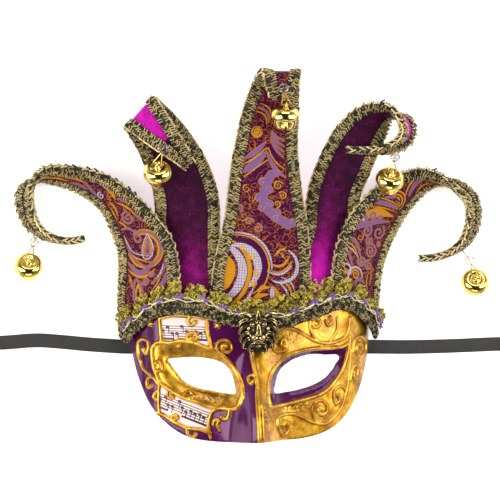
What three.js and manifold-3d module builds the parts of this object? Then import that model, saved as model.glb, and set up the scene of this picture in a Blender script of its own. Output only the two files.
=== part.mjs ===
// A jester half mask lying on its back: +X to the right, +Y towards the horn tips, +Z up from the floor.
// Millimetres. The face, five curled fabric horns, trims, bells and ribbons are separate pieces.
import * as THREE from 'three';
import { mergeVertices } from 'three/addons/utils/BufferGeometryUtils.js';
import Module from 'manifold-3d';

const wasm = await Module();
wasm.setup();

// Driving sizes
const GAP = 0.3;             // left between pieces that touch
const CLOTH_GAP = 0.9;       // left between a horn's panel and its braid
const FACE_HALF_WIDTH = 86;
const CROWN_HEIGHT = 50;     // brow above the floor
const NOSE_HEIGHT = 25;      // nose tip above the cheeks
const WALL = 2.4;
const FACE_COLUMNS = 26;
const FACE_ROWS = 14;
const SOCKET_DEPTH = 4;      // eye bowls sink this far
const RIDGE_WIDTH = 2.6;     // scroll cords
const RIDGE_HEIGHT = 1.5;
const BRAID_WIDTH = 9.2;
const BRAID_THICK = 5.4;
const PANEL_THICK = 3.2;
const GIMP_WIDTH = 10;
const GIMP_THICK = 4.6;
const LACE_THICK = 2.2;
const LACE_LIFT = 1.6;       // the lace lies on the horns, above the gimp's middle line
const BELL_RADIUS = 10.2;
const BEAD_RADIUS = 3.6;
const WIRE_RADIUS = 0.45;
const RIBBON_WIDTH = 10;
const RIBBON_THICK = 0.7;
const COIL_OUTER = 29;
const COIL_INNER = 21;
const CENTRE_SHIFT = [-2.215, 0.725, 0];   // moves the middle of the mask's box onto the origin

// Outlines of the face, seen from above, [x, y]
const LOWER_RIM = [
  [-86.5, -60], [-84, -68], [-81.8, -79], [-79, -88.5], [-74.5, -100], [-69.5, -108.5], [-62.5, -116],
  [-55, -122], [-46, -126.5], [-33.5, -129], [-19, -129.6], [0, -128.4], [19, -128.6], [33.5, -127.8],
  [46, -125.2], [55.5, -121], [64.5, -114], [72, -103.8], [77.2, -93.4], [80.8, -83], [83.8, -72], [86.5, -60],
];
const LEFT_OPENING = [
  [-60.5, -73], [-52, -71.5], [-43.5, -71], [-34.5, -71.5], [-25, -74], [-19.5, -78], [-16, -84],
  [-14.5, -90.5], [-14.5, -96.5], [-22, -96.5], [-31, -95], [-41, -93], [-49, -89], [-54, -83.5], [-58.5, -77.5],
];
const RIGHT_OPENING = [
  [13.5, -96], [14, -89], [16.5, -81.5], [22.5, -75.5], [30.5, -71.5], [40.5, -69.5], [50.5, -70],
  [61, -71], [59, -77.5], [54.5, -83.5], [49, -88], [40.5, -92], [31.5, -94.5], [22.5, -96],
];
const LEFT_RAIL = [
  [-65, -61], [-69.5, -64], [-70.5, -69], [-69.5, -78], [-67.5, -84], [-65, -89.5], [-59.5, -93.5],
  [-50.5, -99], [-41, -102], [-32.5, -105.5], [-23.5, -106.5], [-14.5, -106], [-11, -100], [-9.5, -94.5],
  [-11, -86.5], [-15.5, -78], [-21.5, -71], [-27.5, -67], [-35, -64], [-43, -61], [-52, -60], [-58.5, -61.5],
];
const RIGHT_RIM = [
  [10, -105], [8, -99], [8, -91], [10.5, -82.5], [16.5, -74.5], [24, -69.5], [32, -67], [41.5, -65.5],
  [51.5, -65.5], [62, -65], [67.5, -63], [66.5, -69.5], [64.5, -76.5], [61, -83.5], [56, -90], [50, -95.5],
  [42, -99], [32, -101.5], [22.5, -103.5], [12.5, -105],
];
// Raised scroll cords of the face, [x, y] along each
const SCROLLS = [
  [[-72.5, -84], [-76.5, -80], [-80, -69], [-80, -62.5], [-77, -59.5], [-73.5, -61], [-73, -65.5], [-75, -68]],
  [[-27, -67.5], [-27, -63.5], [-25, -60], [-20.5, -59.5], [-17, -62], [-17, -66], [-20.5, -67.5], [-22, -64]],
  [[-66, -91], [-66, -104.5], [-65, -110.5], [-56.5, -116], [-47, -120.5], [-37, -121.5], [-31, -124]],
  [[-31, -126], [-32.5, -119], [-31.5, -113], [-29.5, -108.5], [-25.5, -106.5]],
  [[-3, -72], [-2, -77], [0, -89.5], [-0.5, -96], [1, -103], [-1, -107.5], [-1.5, -118], [0, -126.5]],
  [[13, -66], [16.5, -67.5], [20.5, -66.5], [21.5, -62.5], [19.5, -59.5], [17.5, -62]],
  [[16, -54.5], [22.5, -52.5], [28.5, -52.5], [34.5, -56], [40.5, -59.5], [53, -62], [64.5, -58], [67.5, -50]],
  [[71, -69], [72, -62], [75, -58.5], [79.5, -58.5], [82.5, -63.5], [81.5, -69.5], [78, -72], [75.5, -68]],
  [
    [69, -62], [69, -72.5], [67.5, -84], [65, -98.5], [60, -110], [55.5, -115], [50.5, -118], [45, -118],
    [33.5, -113.5], [22, -110.5], [17, -111.5], [14.5, -114], [15, -119], [18.5, -124], [22, -122],
    [22, -118],
  ],
  [[45, -118], [42, -115], [40.5, -109], [41.5, -104.5], [44.5, -102], [48.5, -102.5], [50.5, -107], [47, -110]],
  [[64, -102], [65.5, -97.5], [64, -94], [60.5, -92.5], [56.5, -95.5], [56, -100], [59, -102]],
];

// Middle line of the ruched gimp over the brow, [x, y, z]
const GIMP_LINE = [
  [-89.6, -60, 7.5], [-85.8, -54, 12.5], [-80.5, -48.5, 19], [-72.5, -41.2, 28], [-65.4, -37.7, 34],
  [-55.3, -36.9, 40.4], [-41.2, -37.4, 46.6], [-33.1, -39.4, 49], [-24.9, -42.2, 50.8], [-15.4, -44.6, 52.2],
  [1.1, -46.6, 53.2], [18.6, -46.4, 52.2], [30.8, -42.7, 49.8], [41.7, -39.4, 46.4], [51.4, -35.7, 42.2],
  [62.1, -33.6, 36.2], [70.6, -35.8, 30], [79.2, -41.5, 20.5], [86.4, -49.3, 12.5], [90.4, -58.5, 7.5],
];
// Tips of the flower lace above the gimp, [x, y, z]
const LACE_TOP = [
  [-98.6, -45.8, 10], [-84.9, -34.2, 19.5], [-73.5, -27.7, 28], [-62.7, -22.7, 34.5], [-52.6, -20.6, 40],
  [-37.1, -23.3, 45], [-21.4, -28.8, 48], [1.3, -31.5, 49.5], [16.8, -29.5, 49], [28.1, -26.8, 47.5],
  [39.8, -20.6, 44], [48.6, -17.9, 41], [62.2, -18, 34.5], [75, -21.7, 27], [83.2, -31.1, 20],
  [91.5, -38.4, 12.5], [97.3, -45.7, 8],
];

// Each horn's middle line: [x, y, z, width, bearing and tilt in degrees of the line across it]
const OUTER_LEFT = [
  [-70.6, -62, 19.6, 55, 19, 37], [-72.3, -30.7, 18.5, 53, 12, 35], [-72.3, -12.5, 17, 50, 8, 33],
  [-74.7, 5.1, 15.5, 46, 14, 32], [-86.2, 25.5, 14, 37, 25, 35], [-97, 39.3, 12.5, 31, 34, 38],
  [-112.1, 49.4, 11.8, 28, 43, 42], [-130.3, 55, 11.8, 24, 57, 50], [-144.3, 56.4, 11.6, 22, 76, 62],
  [-153.4, 52.2, 10.7, 20, 122, 92], [-159.4, 43.7, 10.2, 19.5, 158, 126], [-159, 32.5, 10, 19, 184, 129],
  [-154.8, 21.3, 9.6, 18, 210, 122], [-146.4, 13.5, 9.2, 17, 243, 104], [-136.6, 10, 8.4, 16, 263, 92],
  [-126.8, 9, 7.8, 15, 274, 90], [-117.6, 11.1, 6.8, 13, 281, 90],
];
const OUTER_RIGHT = [
  [70.4, -62, 19.6, 52, 160, 39], [73, -31, 18.5, 50, 163, 37], [75.4, -11.2, 16.5, 47.5, 168, 34],
  [80.2, 8, 15.5, 47, 160, 32], [91.2, 27.2, 14, 43, 146, 31], [105, 41.8, 13, 36, 139, 35],
  [119.6, 51.5, 12.2, 29, 133, 42], [130.6, 53.7, 11.8, 23, 118, 56], [139.8, 52.4, 10.9, 20.5, 82, 88],
  [148.6, 49.5, 10.4, 20, 62, 116], [158.8, 40.3, 10.2, 19.5, 30, 128], [161.4, 28.8, 10, 19, 0, 130],
  [158.9, 16.6, 9.8, 18.5, -22, 126], [152.4, 6.6, 9.4, 17.5, -50, 110], [142.3, 0.1, 8.6, 16, -66, 96],
  [131.6, -2.7, 7.8, 15, -82, 90], [121.2, -3.1, 6.8, 13, -92, 90],
];
const INNER_LEFT = [
  [-38.6, -50, 29, 38, 0, 25], [-41.3, -26.4, 26.5, 42, 0, 25], [-43.9, -5.4, 22.5, 45, 1, 20],
  [-45.2, 17, 20, 47, 3, 15], [-46, 38, 21, 46, 8, 8], [-52.1, 58.6, 25.5, 43, 16, 2],
  [-63.9, 79.6, 31.5, 38, 26, 0], [-74.2, 92.5, 36, 34, 40, 0], [-79.4, 98, 42, 32, 49, 0],
  [-76.2, 93.9, 47.5, 29, 49, 0], [-70.1, 87.3, 49, 26, 47, 0], [-62, 78.8, 47.5, 21, 44, 0],
  [-52.9, 70, 44.5, 15.5, 40, 0], [-45.1, 61.2, 42, 10, 38, 0],
];
const CENTRE = [
  [5.2, -58, 40.4, 64, 0, 0], [4.5, -26.2, 39.8, 70, 0, 0], [6.1, -5.4, 38.3, 68, 0, 0],
  [8, 16.9, 36.8, 61, 0, 0], [7.7, 37.9, 36, 54.5, 0, 0], [7.7, 60.2, 36, 49, 0, 0],
  [9, 79.7, 37.3, 44, 0, 0], [11.5, 99, 40, 40.5, 0, 0], [13.9, 113.4, 43.6, 35, 0, 0],
  [16.1, 122.7, 49, 31.5, 0, 0], [17.1, 126, 55.5, 29, 0, 0], [17.2, 122.4, 60.5, 26.5, 0, 0],
  [16.7, 116.4, 60.8, 24, 0, 0], [16.1, 111.4, 58.5, 19, 0, 0], [16, 107.5, 55, 13, 0, 0],
];
const INNER_RIGHT = [
  [47.4, -50, 30, 38, 180, 25], [48.2, -25.1, 26.5, 42, 180, 25], [51.4, -4, 21.5, 44, 178, 20],
  [55.8, 16.4, 19, 41, 172, 15], [57.9, 41.8, 21, 39, 163, 8], [65.4, 62.9, 25.5, 38.5, 156, 2],
  [73.4, 79.7, 30, 36.5, 149, 4], [82.5, 92.6, 33, 31.5, 148, 14], [91.7, 99.1, 35.5, 26.5, 126, 48],
  [99.9, 98.3, 37.5, 24, 66, 90], [106.3, 93.4, 39.5, 22.5, 25, 122], [107.8, 84.9, 41, 22, -10, 128],
  [102, 77.1, 42, 20, -48, 118], [92, 73.5, 42.5, 17.5, -74, 104], [81.5, 72.5, 42, 15, -88, 94],
  [71.8, 72.5, 41, 13.5, -93, 90], [64.1, 73.2, 40.5, 11, -95, 90],
];

// Pendants: bead centre, bell centre, and the way the bell's loop points
const PENDANTS = {
  outer_left: { bead: [-152.8, 8.6, 8.5], bell: [-156.6, -9, 10.5], loop: [0.05, 0.62, 0.78] },
  inner_left: { bead: [-64.1, 72.6, 54.2], bell: [-67.2, 56, 40.2], loop: [-0.1, 0.66, 0.75] },
  centre: { bead: [17.1, 113.6, 68.2], bell: [19.5, 94.6, 55], loop: [0.05, 0.95, 0.3] },
  inner_right: { bead: [98.6, 68, 41], bell: [95.4, 51.5, 37], loop: [0.1, 0.7, 0.7] },
  outer_right: { bead: [158, -4.4, 8.5], bell: [161.6, -20.5, 10.5], loop: [-0.05, 0.5, 0.86] },
};

// Middle line of each ribbon on the floor, [x, y], out to the coil
const RIBBON_LEFT = [[-86.8, -65.8], [-113.3, -64], [-133.1, -62.1], [-151.4, -60.9], [-176.6, -62.5], [-204, -62.5]];
const RIBBON_RIGHT = [[86.8, -66.4], [116.1, -66.7], [145.3, -66.1], [181.9, -64.8], [210, -64.8]];
const COIL_LEFT = [-216, -91.8];
const COIL_RIGHT = [222, -94.1];
const TWIST_LENGTH = 24;     // the ribbon turns on edge over this length before its coil

// Plain vector helpers
const vec = (p) => new THREE.Vector3(p[0], p[1], p[2]);
const clamp01 = (t) => Math.max(0, Math.min(1, t));
const smooth = (t) => clamp01(t) ** 2 * (3 - 2 * clamp01(t));
const radians = (degrees) => THREE.MathUtils.degToRad(degrees);

// A closed body between two grids of points that face each other
function slab(front, back, closed = false) {
  const rows = front.length;
  const columns = front[0].length;
  const points = [...front.flat(), ...back.flat()];
  const at = (layer, i, j) => (layer * rows + (i % rows)) * columns + j;
  const faces = [];
  const quad = (a, b, c, d) => faces.push([a, b, c], [a, c, d]);
  for (let i = 0; i < (closed ? rows : rows - 1); i += 1) {
    for (let j = 0; j < columns - 1; j += 1) {
      quad(at(0, i, j), at(0, i, j + 1), at(0, i + 1, j + 1), at(0, i + 1, j));
      quad(at(1, i, j), at(1, i + 1, j), at(1, i + 1, j + 1), at(1, i, j + 1));
    }
    quad(at(0, i, 0), at(0, i + 1, 0), at(1, i + 1, 0), at(1, i, 0));
    quad(at(0, i + 1, columns - 1), at(0, i, columns - 1), at(1, i, columns - 1), at(1, i + 1, columns - 1));
  }
  if (!closed) {
    for (let j = 0; j < columns - 1; j += 1) {
      quad(at(0, 0, j + 1), at(0, 0, j), at(1, 0, j), at(1, 0, j + 1));
      quad(at(0, rows - 1, j), at(0, rows - 1, j + 1), at(1, rows - 1, j + 1), at(1, rows - 1, j));
    }
  }
  let volume = 0;
  for (const [a, b, c] of faces) {
    volume += points[a].dot(points[b].clone().cross(points[c]));
  }
  if (volume < 0) {
    faces.forEach((face) => face.reverse());
  }
  const geometry = new THREE.BufferGeometry().setFromPoints(points);
  geometry.setIndex(faces.flat());
  return geometry;
}

// Booleans
function solidOf(geometry) {
  const bare = geometry.clone();
  bare.deleteAttribute('normal');
  bare.deleteAttribute('uv');
  const merged = mergeVertices(bare, 1e-4);
  const mesh = new wasm.Mesh({
    numProp: 3,
    vertProperties: new Float32Array(merged.attributes.position.array),
    triVerts: new Uint32Array(merged.index.array),
  });
  return new wasm.Manifold(mesh);
}

function geometryOf(solid) {
  const mesh = solid.getMesh();
  const geometry = new THREE.BufferGeometry();
  geometry.setAttribute('position', new THREE.BufferAttribute(mesh.vertProperties, 3));
  geometry.setIndex(new THREE.BufferAttribute(mesh.triVerts, 1));
  return geometry;
}

const joined = (solids) => solids.reduce((sum, solid) => sum.add(solid));

// A smooth line through rows of numbers, with as many rows as asked
function smoothRows(rows, count, closed = false) {
  const places = new THREE.CatmullRomCurve3(rows.map((row) => vec([row[0], row[1], row[2] ?? 0])), closed, 'catmullrom');
  const extras = new THREE.CatmullRomCurve3(
    rows.map((row) => vec([row[3] ?? 0, row[4] ?? 0, row[5] ?? 0])), closed, 'catmullrom');
  return Array.from({ length: count }, (_, i) => {
    const t = i / (closed ? count : count - 1);
    return [...places.getPoint(t).toArray(), ...extras.getPoint(t).toArray()];
  });
}

// The face's surface
function distanceTo(outline, x, y) {
  let nearest = Infinity;
  outline.forEach(([ax, ay], i) => {
    const [bx, by] = outline[(i + 1) % outline.length];
    const along = clamp01(((x - ax) * (bx - ax) + (y - ay) * (by - ay)) / ((bx - ax) ** 2 + (by - ay) ** 2));
    nearest = Math.min(nearest, Math.hypot(x - ax - along * (bx - ax), y - ay - along * (by - ay)));
  });
  return nearest;
}

function isInside(outline, x, y) {
  let inside = false;
  outline.forEach(([ax, ay], i) => {
    const [bx, by] = outline[(i + 1) % outline.length];
    if ((ay > y) !== (by > y) && x < ax + ((y - ay) * (bx - ax)) / (by - ay)) {
      inside = !inside;
    }
  });
  return inside;
}

function socket(x, y) {
  for (const [opening, rail] of [[LEFT_OPENING, LEFT_RAIL], [RIGHT_OPENING, RIGHT_RIM]]) {
    if (isInside(opening, x, y)) {
      return SOCKET_DEPTH;
    }
    if (isInside(rail, x, y)) {
      const outward = distanceTo(opening, x, y);
      return SOCKET_DEPTH * smooth(1 - outward / (outward + distanceTo(rail, x, y)));
    }
  }
  return 0;
}

function faceHeight(x, y) {
  const crown = CROWN_HEIGHT - 4 * ((y + 60) / 70) ** 2;
  const round = (1 - Math.min(1, Math.abs(x) / FACE_HALF_WIDTH) ** 2.2) ** 0.62;
  const down = smooth((-52 - y) / 75);
  const nose = NOSE_HEIGHT * down * Math.exp(-((x / (8.5 + 5.5 * down)) ** 2));
  return crown * round + nose - socket(x, y);
}

function facePoint(u, y) {
  const x = FACE_HALF_WIDTH * (0.72 * u + 0.28 * Math.sin((u * Math.PI) / 2));
  return new THREE.Vector3(x, y, faceHeight(x, y));
}

function faceNormal(u, y) {
  const step = 0.01;
  const low = Math.max(-1, u - step);
  const high = Math.min(1, u + step);
  const across = facePoint(high, y).sub(facePoint(low, y));
  const along = facePoint(u, y + 0.5).sub(facePoint(u, y - 0.5));
  return across.cross(along).normalize();
}

// Everything between the face's surface, moved in by depth, and a level below the floor
function faceBlock(depth, columns, rows, margin) {
  const front = [];
  const back = [];
  for (let i = 0; i <= rows; i += 1) {
    const y = THREE.MathUtils.lerp(-134 - margin, -26 + margin, i / rows);
    const line = Array.from({ length: columns + 1 }, (_, j) => {
      const u = (2 * j) / columns - 1;
      return facePoint(u, y).addScaledVector(faceNormal(u, y), -depth);
    });
    front.push(line);
    back.push(line.map((p) => new THREE.Vector3(p.x, p.y, -12 - margin)));
  }
  return solidOf(slab(front, back));
}

function prism(outline, bottom, top) {
  const shape = new THREE.Shape(outline.map(([x, y]) => new THREE.Vector2(x, y)));
  const geometry = new THREE.ExtrudeGeometry(shape, { depth: top - bottom, bevelEnabled: false });
  geometry.translate(0, 0, bottom);
  return solidOf(geometry);
}

// A raised cord that follows the face
function ridge(line, closed = false) {
  const lift = (x, y) => new THREE.Vector3(x, y, faceHeight(x, y) + 0.1);
  const places = line.map(([x, y]) => lift(x, y));
  const front = [];
  const back = [];
  places.forEach((place, i) => {
    const before = places[closed ? (i + places.length - 1) % places.length : Math.max(0, i - 1)];
    const after = places[closed ? (i + 1) % places.length : Math.min(places.length - 1, i + 1)];
    const along = after.clone().sub(before).normalize();
    const dx = lift(place.x + 0.6, place.y).sub(lift(place.x - 0.6, place.y));
    const dy = lift(place.x, place.y + 0.6).sub(lift(place.x, place.y - 0.6));
    const up = dx.cross(dy).normalize();
    const side = along.cross(up).normalize();
    const corner = (s, h) => place.clone().addScaledVector(side, s).addScaledVector(up, h);
    const half = RIDGE_WIDTH / 2;
    front.push([corner(-half * 0.5, RIDGE_HEIGHT), corner(half * 0.5, RIDGE_HEIGHT)]);
    back.push([corner(-half, -1.2), corner(half, -1.2)]);
  });
  return solidOf(slab(front, back, closed));
}

const browLine = (shift) => GIMP_LINE.map(([x, y]) => [x * 0.985, y + shift]);

function faceShell(gimpRoom) {
  const hollow = faceBlock(0, FACE_COLUMNS, FACE_ROWS, 0).subtract(faceBlock(WALL, 14, 7, 4));
  const shell = hollow
    .intersect(prism([...LOWER_RIM, ...browLine(-0.5).reverse().slice(1, -1)], 0, 100))
    .subtract(prism(LEFT_OPENING, -1, 100))
    .subtract(prism(RIGHT_OPENING, -1, 100));
  const cords = joined([ridge(LEFT_RAIL, true), ridge(RIGHT_RIM, true), ...SCROLLS.map((line) => ridge(line))]);
  return shell.add(cords).subtract(gimpRoom);
}

// Ruched gimp over the brow: a band whose puckers swell and pinch
function gimpBand(extra) {
  const stations = smoothRows(GIMP_LINE, 36);
  const front = [];
  const back = [];
  stations.forEach((row, i) => {
    const here = vec(row);
    const along = vec(stations[Math.min(i + 1, 35)]).sub(vec(stations[Math.max(i - 1, 0)])).normalize();
    const out = new THREE.Vector3(here.x * 0.62, 0, here.z + 8).normalize();
    const side = out.clone().cross(along).normalize();
    const pucker = i % 2 === 0 ? 1 : 0.8;
    const half = (GIMP_WIDTH / 2) * (0.88 + 0.12 * pucker) + extra;
    const corner = (s, h) => here.clone().addScaledVector(side, s).addScaledVector(out, h);
    const top = GIMP_THICK * 0.5 * pucker + extra;
    const bottom = -GIMP_THICK * 0.5 - extra;
    front.push([corner(-half, -0.4), corner(-half * 0.6, top), corner(half * 0.6, top), corner(half, -0.4)]);
    back.push([corner(-half, -1), corner(-half * 0.6, bottom), corner(half * 0.6, bottom), corner(half, -1)]);
  });
  return solidOf(slab(front, back));
}

// Flower lace: a scalloped band from the gimp's upper edge to the tips of its tufts
function laceBand(extra) {
  const count = 31;
  const lower = smoothRows(GIMP_LINE, count);
  const upper = smoothRows(LACE_TOP, count);
  const front = [];
  const back = [];
  lower.forEach((row, i) => {
    const base = vec(row);
    const tip = vec(upper[i]);
    base.z += LACE_LIFT;
    const rise = tip.clone().sub(base);
    const height = rise.length();
    rise.normalize();
    const along = vec(lower[Math.min(i + 1, count - 1)]).sub(vec(lower[Math.max(i - 1, 0)])).normalize();
    const out = along.clone().cross(rise).normalize();
    const start = base.addScaledVector(rise, GIMP_WIDTH / 2 + 1.4 - extra);
    const reach = (height - GIMP_WIDTH / 2) * (i % 2 === 0 ? 0.74 : 1) + extra;
    const end = start.clone().addScaledVector(rise, reach);
    const half = LACE_THICK / 2 + extra;
    front.push([start.clone().addScaledVector(out, half), end.clone().addScaledVector(out, half)]);
    back.push([start.clone().addScaledVector(out, -half), end.clone().addScaledVector(out, -half)]);
  });
  return solidOf(slab(front, back));
}

// One horn: a stuffed panel and the braid folded over both its edges
function hornFrames(rows, count, side) {
  const stations = smoothRows(rows, count);
  return stations.map((row, i) => {
    const [x, y, z, width, bearing, tilt] = row;
    const along = vec(stations[Math.min(i + 1, count - 1)]).sub(vec(stations[Math.max(i - 1, 0)])).normalize();
    const across = new THREE.Vector3(
      Math.cos(radians(tilt)) * Math.cos(radians(bearing)),
      Math.cos(radians(tilt)) * Math.sin(radians(bearing)),
      Math.sin(radians(tilt)));
    across.addScaledVector(along, -across.dot(along)).normalize();
    const out = across.clone().cross(along).multiplyScalar(side);
    return { middle: new THREE.Vector3(x, y, z), across, out, width, t: i / (count - 1) };
  });
}

function hornPoint(frame, crown, s, height) {
  const bulge = crown * (1 - frame.t) * (1 - (2 * s) ** 2);
  return frame.middle.clone()
    .addScaledVector(frame.across, s * frame.width)
    .addScaledVector(frame.out, Math.max(0, bulge) + height);
}

function hornPanel(frames, crown) {
  const front = [];
  const back = [];
  for (const frame of frames) {
    const half = 0.5 - (BRAID_WIDTH + CLOTH_GAP) / frame.width;
    if (half * frame.width < 1.2) {
      break;
    }
    const steps = [-1, -0.4, 0.4, 1].map((step) => step * half);
    front.push(steps.map((s) => hornPoint(frame, crown, s, PANEL_THICK / 2)));
    back.push(steps.map((s) => hornPoint(frame, crown, s, -PANEL_THICK / 2)));
  }
  return slab(front, back);
}

// The braid runs up one edge, round the tip and down the other, its two runs butted where the horn is slim
function hornBraid(frames, crown) {
  const run = (frame, edge) => {
    const inner = Math.max(GAP / 2 / frame.width, 0.5 - BRAID_WIDTH / frame.width);
    const level = (side) => [[0.5, 0.38 * side], [inner, 0.5 * side]]
      .map(([s, share]) => hornPoint(frame, crown, s * edge, share * BRAID_THICK));
    return { front: level(1), back: level(-1) };
  };
  const last = frames[frames.length - 1];
  const ahead = last.middle.clone().sub(frames[frames.length - 2].middle).normalize();
  const tip = (side) => [0.42 * last.width, 0.05 * last.width].map((reach) => last.middle.clone()
    .addScaledVector(ahead, reach).addScaledVector(last.out, 0.4 * side * BRAID_THICK));
  const runs = [
    ...frames.map((frame) => run(frame, 1)),
    { front: tip(1), back: tip(-1) },
    ...[...frames].reverse().map((frame) => run(frame, -1)),
  ];
  return slab(runs.map((row) => row.front), runs.map((row) => row.back));
}

// The horns' roots are cut along the brow, just behind the face's upper edge
function hornSpace(gimpRoom) {
  const line = browLine(0.8);
  const corners = [[200, line[line.length - 1][1]], [200, 200], [-200, 200], [-200, line[0][1]]];
  return prism([...line, ...corners], -20, 100).subtract(gimpRoom);
}

function horn(rows, count, side, crown, space) {
  const frames = hornFrames(rows, count, side);
  const trimmed = (geometry) => geometryOf(solidOf(geometry).intersect(space));
  return { panel: trimmed(hornPanel(frames, crown)), braid: trimmed(hornBraid(frames, crown)) };
}

// Lion's head: a low relief of skull, brows, nose, jowls, ears and mane locks
function blob(centre, size, turn = 0, sides = 6) {
  const geometry = new THREE.SphereGeometry(1, sides, sides - 2);
  geometry.rotateX(Math.PI / 2);
  geometry.scale(size[0], size[1], size[2]);
  geometry.rotateZ(radians(turn));
  geometry.translate(centre[0], centre[1], centre[2]);
  return solidOf(geometry);
}

function lionHead(room) {
  const mane = [];
  for (let i = 0; i < 12; i += 1) {
    const angle = 90 + 30 * i;
    const reach = i === 0 ? 11.4 : 10.2;
    const x = Math.cos(radians(angle)) * reach;
    const y = Math.sin(radians(angle)) * reach * 1.15;
    mane.push(blob([x, y, 1.4], [5.2, 2.7, 3.2], angle, 5));
  }
  const features = [
    blob([0, -1, 2], [9.6, 12.5, 5.4]),
    blob([-3.6, 3, 6], [3.2, 1.6, 1.8], 18),
    blob([3.6, 3, 6], [3.2, 1.6, 1.8], -18),
    blob([0, -1.2, 6.6], [2.1, 5, 2.6]),
    blob([0, -6.4, 6], [5, 2.7, 2.6]),
    blob([0, -10.6, 4.4], [2.6, 2.6, 2.4]),
    blob([-7.6, 8, 3], [3.4, 1.9, 2.8], 40),
    blob([7.6, 8, 3], [3.4, 1.9, 2.8], -40),
  ];
  return joined([...mane, ...features]).translate([0.6, -53.2, 54.2]).subtract(room);
}

// Pendants
function turned(profile, sides) {
  return new THREE.LatheGeometry(profile.map(([r, h]) => new THREE.Vector2(r, h)), sides);
}

function basis(up, hint) {
  const side = hint.clone().addScaledVector(up, -hint.dot(up)).normalize();
  return new THREE.Matrix4().makeBasis(side, up, side.clone().cross(up));
}

const LOOP_RADIUS = 2.3;
const LOOP_WIRE = 0.7;
const LOOP_HEIGHT = 0.82;    // of the bell's radius

function bell(pendant, hint) {
  const r = BELL_RADIUS;
  const outer = solidOf(turned([
    [0, -0.84 * r], [0.6 * r, -0.8 * r], [0.86 * r, -0.1 * r], [r, 0.04 * r], [0.72 * r, 0.58 * r], [0, 0.74 * r],
  ], 9));
  const inner = solidOf(turned([[0, -0.72 * r], [0.52 * r, -0.68 * r], [0.8 * r, 0], [0, 0.62 * r]], 6));
  const slot = solidOf(new THREE.BoxGeometry(1.4 * r, 0.5 * r, 0.18 * r).translate(0, -0.8 * r, 0));
  const loop = solidOf(new THREE.TorusGeometry(LOOP_RADIUS, LOOP_WIRE, 4, 8).rotateY(Math.PI / 2)
    .translate(0, LOOP_HEIGHT * r, 0));
  const body = outer.subtract(inner).subtract(slot);
  const geometry = geometryOf(body.add(loop.subtract(inner)));
  geometry.applyMatrix4(basis(vec(pendant.loop).normalize(), hint));
  geometry.translate(...pendant.bell);
  return geometry;
}

function loopCentre(pendant) {
  const up = vec(pendant.loop).normalize();
  return vec(pendant.bell).addScaledVector(up, LOOP_HEIGHT * BELL_RADIUS + LOOP_RADIUS * 0.35);
}

// Wire triangle through the bell's loop, its point against the bead
function wireLink(pendant, hint) {
  const foot = loopCentre(pendant);
  const reach = vec(pendant.bead).sub(foot);
  const length = reach.length() - BEAD_RADIUS - WIRE_RADIUS - GAP;
  const frame = basis(reach.clone().normalize(), hint);
  const half = 3.1;
  const outline = [[-half, 0.6], [-half * 0.7, 0], [half * 0.7, 0], [half, 0.6], [0.5, length], [-0.5, length]];
  const corners = outline.map(([x, y]) => new THREE.Vector3(x, y, 0));
  const front = [];
  const back = [];
  corners.forEach((corner, i) => {
    const before = corners[(i + 5) % 6];
    const after = corners[(i + 1) % 6];
    const inward = after.clone().sub(corner).normalize().add(before.clone().sub(corner).normalize()).normalize();
    const level = (s, h) => corner.clone().addScaledVector(inward, s * WIRE_RADIUS).setZ(h * WIRE_RADIUS);
    front.push([level(-1, 1), level(1, 1)]);
    back.push([level(-1, -1), level(1, -1)]);
  });
  const geometry = slab(front, back, true);
  geometry.applyMatrix4(frame);
  geometry.translate(foot.x, foot.y, foot.z);
  return geometry;
}

function bead(pendant, hint) {
  const r = BEAD_RADIUS;
  const geometry = turned([[0, -0.94 * r], [0.62 * r, -0.8 * r], [r, 0], [0.62 * r, 0.8 * r], [0, 0.94 * r]], 8);
  geometry.applyMatrix4(basis(vec(pendant.bead).sub(loopCentre(pendant)).normalize(), hint));
  geometry.translate(...pendant.bead);
  return geometry;
}

// Satin ribbon: flat on the floor, turned on edge where it meets its coil
function ribbon(line) {
  const count = 13;
  const curve = new THREE.CatmullRomCurve3(line.map(([x, y]) => new THREE.Vector3(x, y, 0)));
  const total = curve.getLength();
  const front = [];
  const back = [];
  for (let i = 0; i < count; i += 1) {
    const place = curve.getPointAt(i / (count - 1));
    const along = curve.getTangentAt(i / (count - 1));
    const turn = radians(90) * smooth(1 - ((1 - i / (count - 1)) * total - 6) / TWIST_LENGTH);
    const level = new THREE.Vector3(-along.y, along.x, 0);
    const across = level.clone().multiplyScalar(Math.cos(turn)).setZ(Math.sin(turn));
    const out = level.clone().multiplyScalar(-Math.sin(turn)).setZ(Math.cos(turn));
    place.z = (RIBBON_WIDTH / 2) * Math.sin(turn) + RIBBON_THICK / 2 + 0.05;
    const corner = (s, h) => place.clone().addScaledVector(across, s).addScaledVector(out, h);
    const half = RIBBON_WIDTH / 2;
    front.push([-half, half].map((s) => corner(s, RIBBON_THICK / 2)));
    back.push([-half, half].map((s) => corner(s, -RIBBON_THICK / 2)));
  }
  return slab(front, back);
}

function coil([x, y]) {
  const top = RIBBON_WIDTH + 0.6;
  const geometry = turned([
    [COIL_INNER, 0.1], [COIL_OUTER, 0.1], [COIL_OUTER, top], [COIL_INNER, top], [COIL_INNER, 0.1]], 14);
  geometry.rotateX(Math.PI / 2);
  geometry.translate(x, y, 0);
  return geometry;
}

// Finishes
const finish = (color, roughness, metalness) => new THREE.MeshStandardMaterial({ color, roughness, metalness });
const FINISHES = {
  gilded: finish(0xd9992b, 0.35, 0.6),
  brocade: finish(0x8a3a3a, 0.6, 0),
  velvet: finish(0x6a0c5c, 0.9, 0),
  braid: finish(0x5c5433, 0.6, 0.4),
  lace: finish(0xc4ad38, 0.7, 0.2),
  bronze: finish(0x6f5a35, 0.4, 0.9),
  brass: finish(0xe0b52c, 0.18, 1),
  crystal: finish(0xe8e8ee, 0.05, 0),
  satin: finish(0x2b2a29, 0.5, 0),
};

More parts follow.
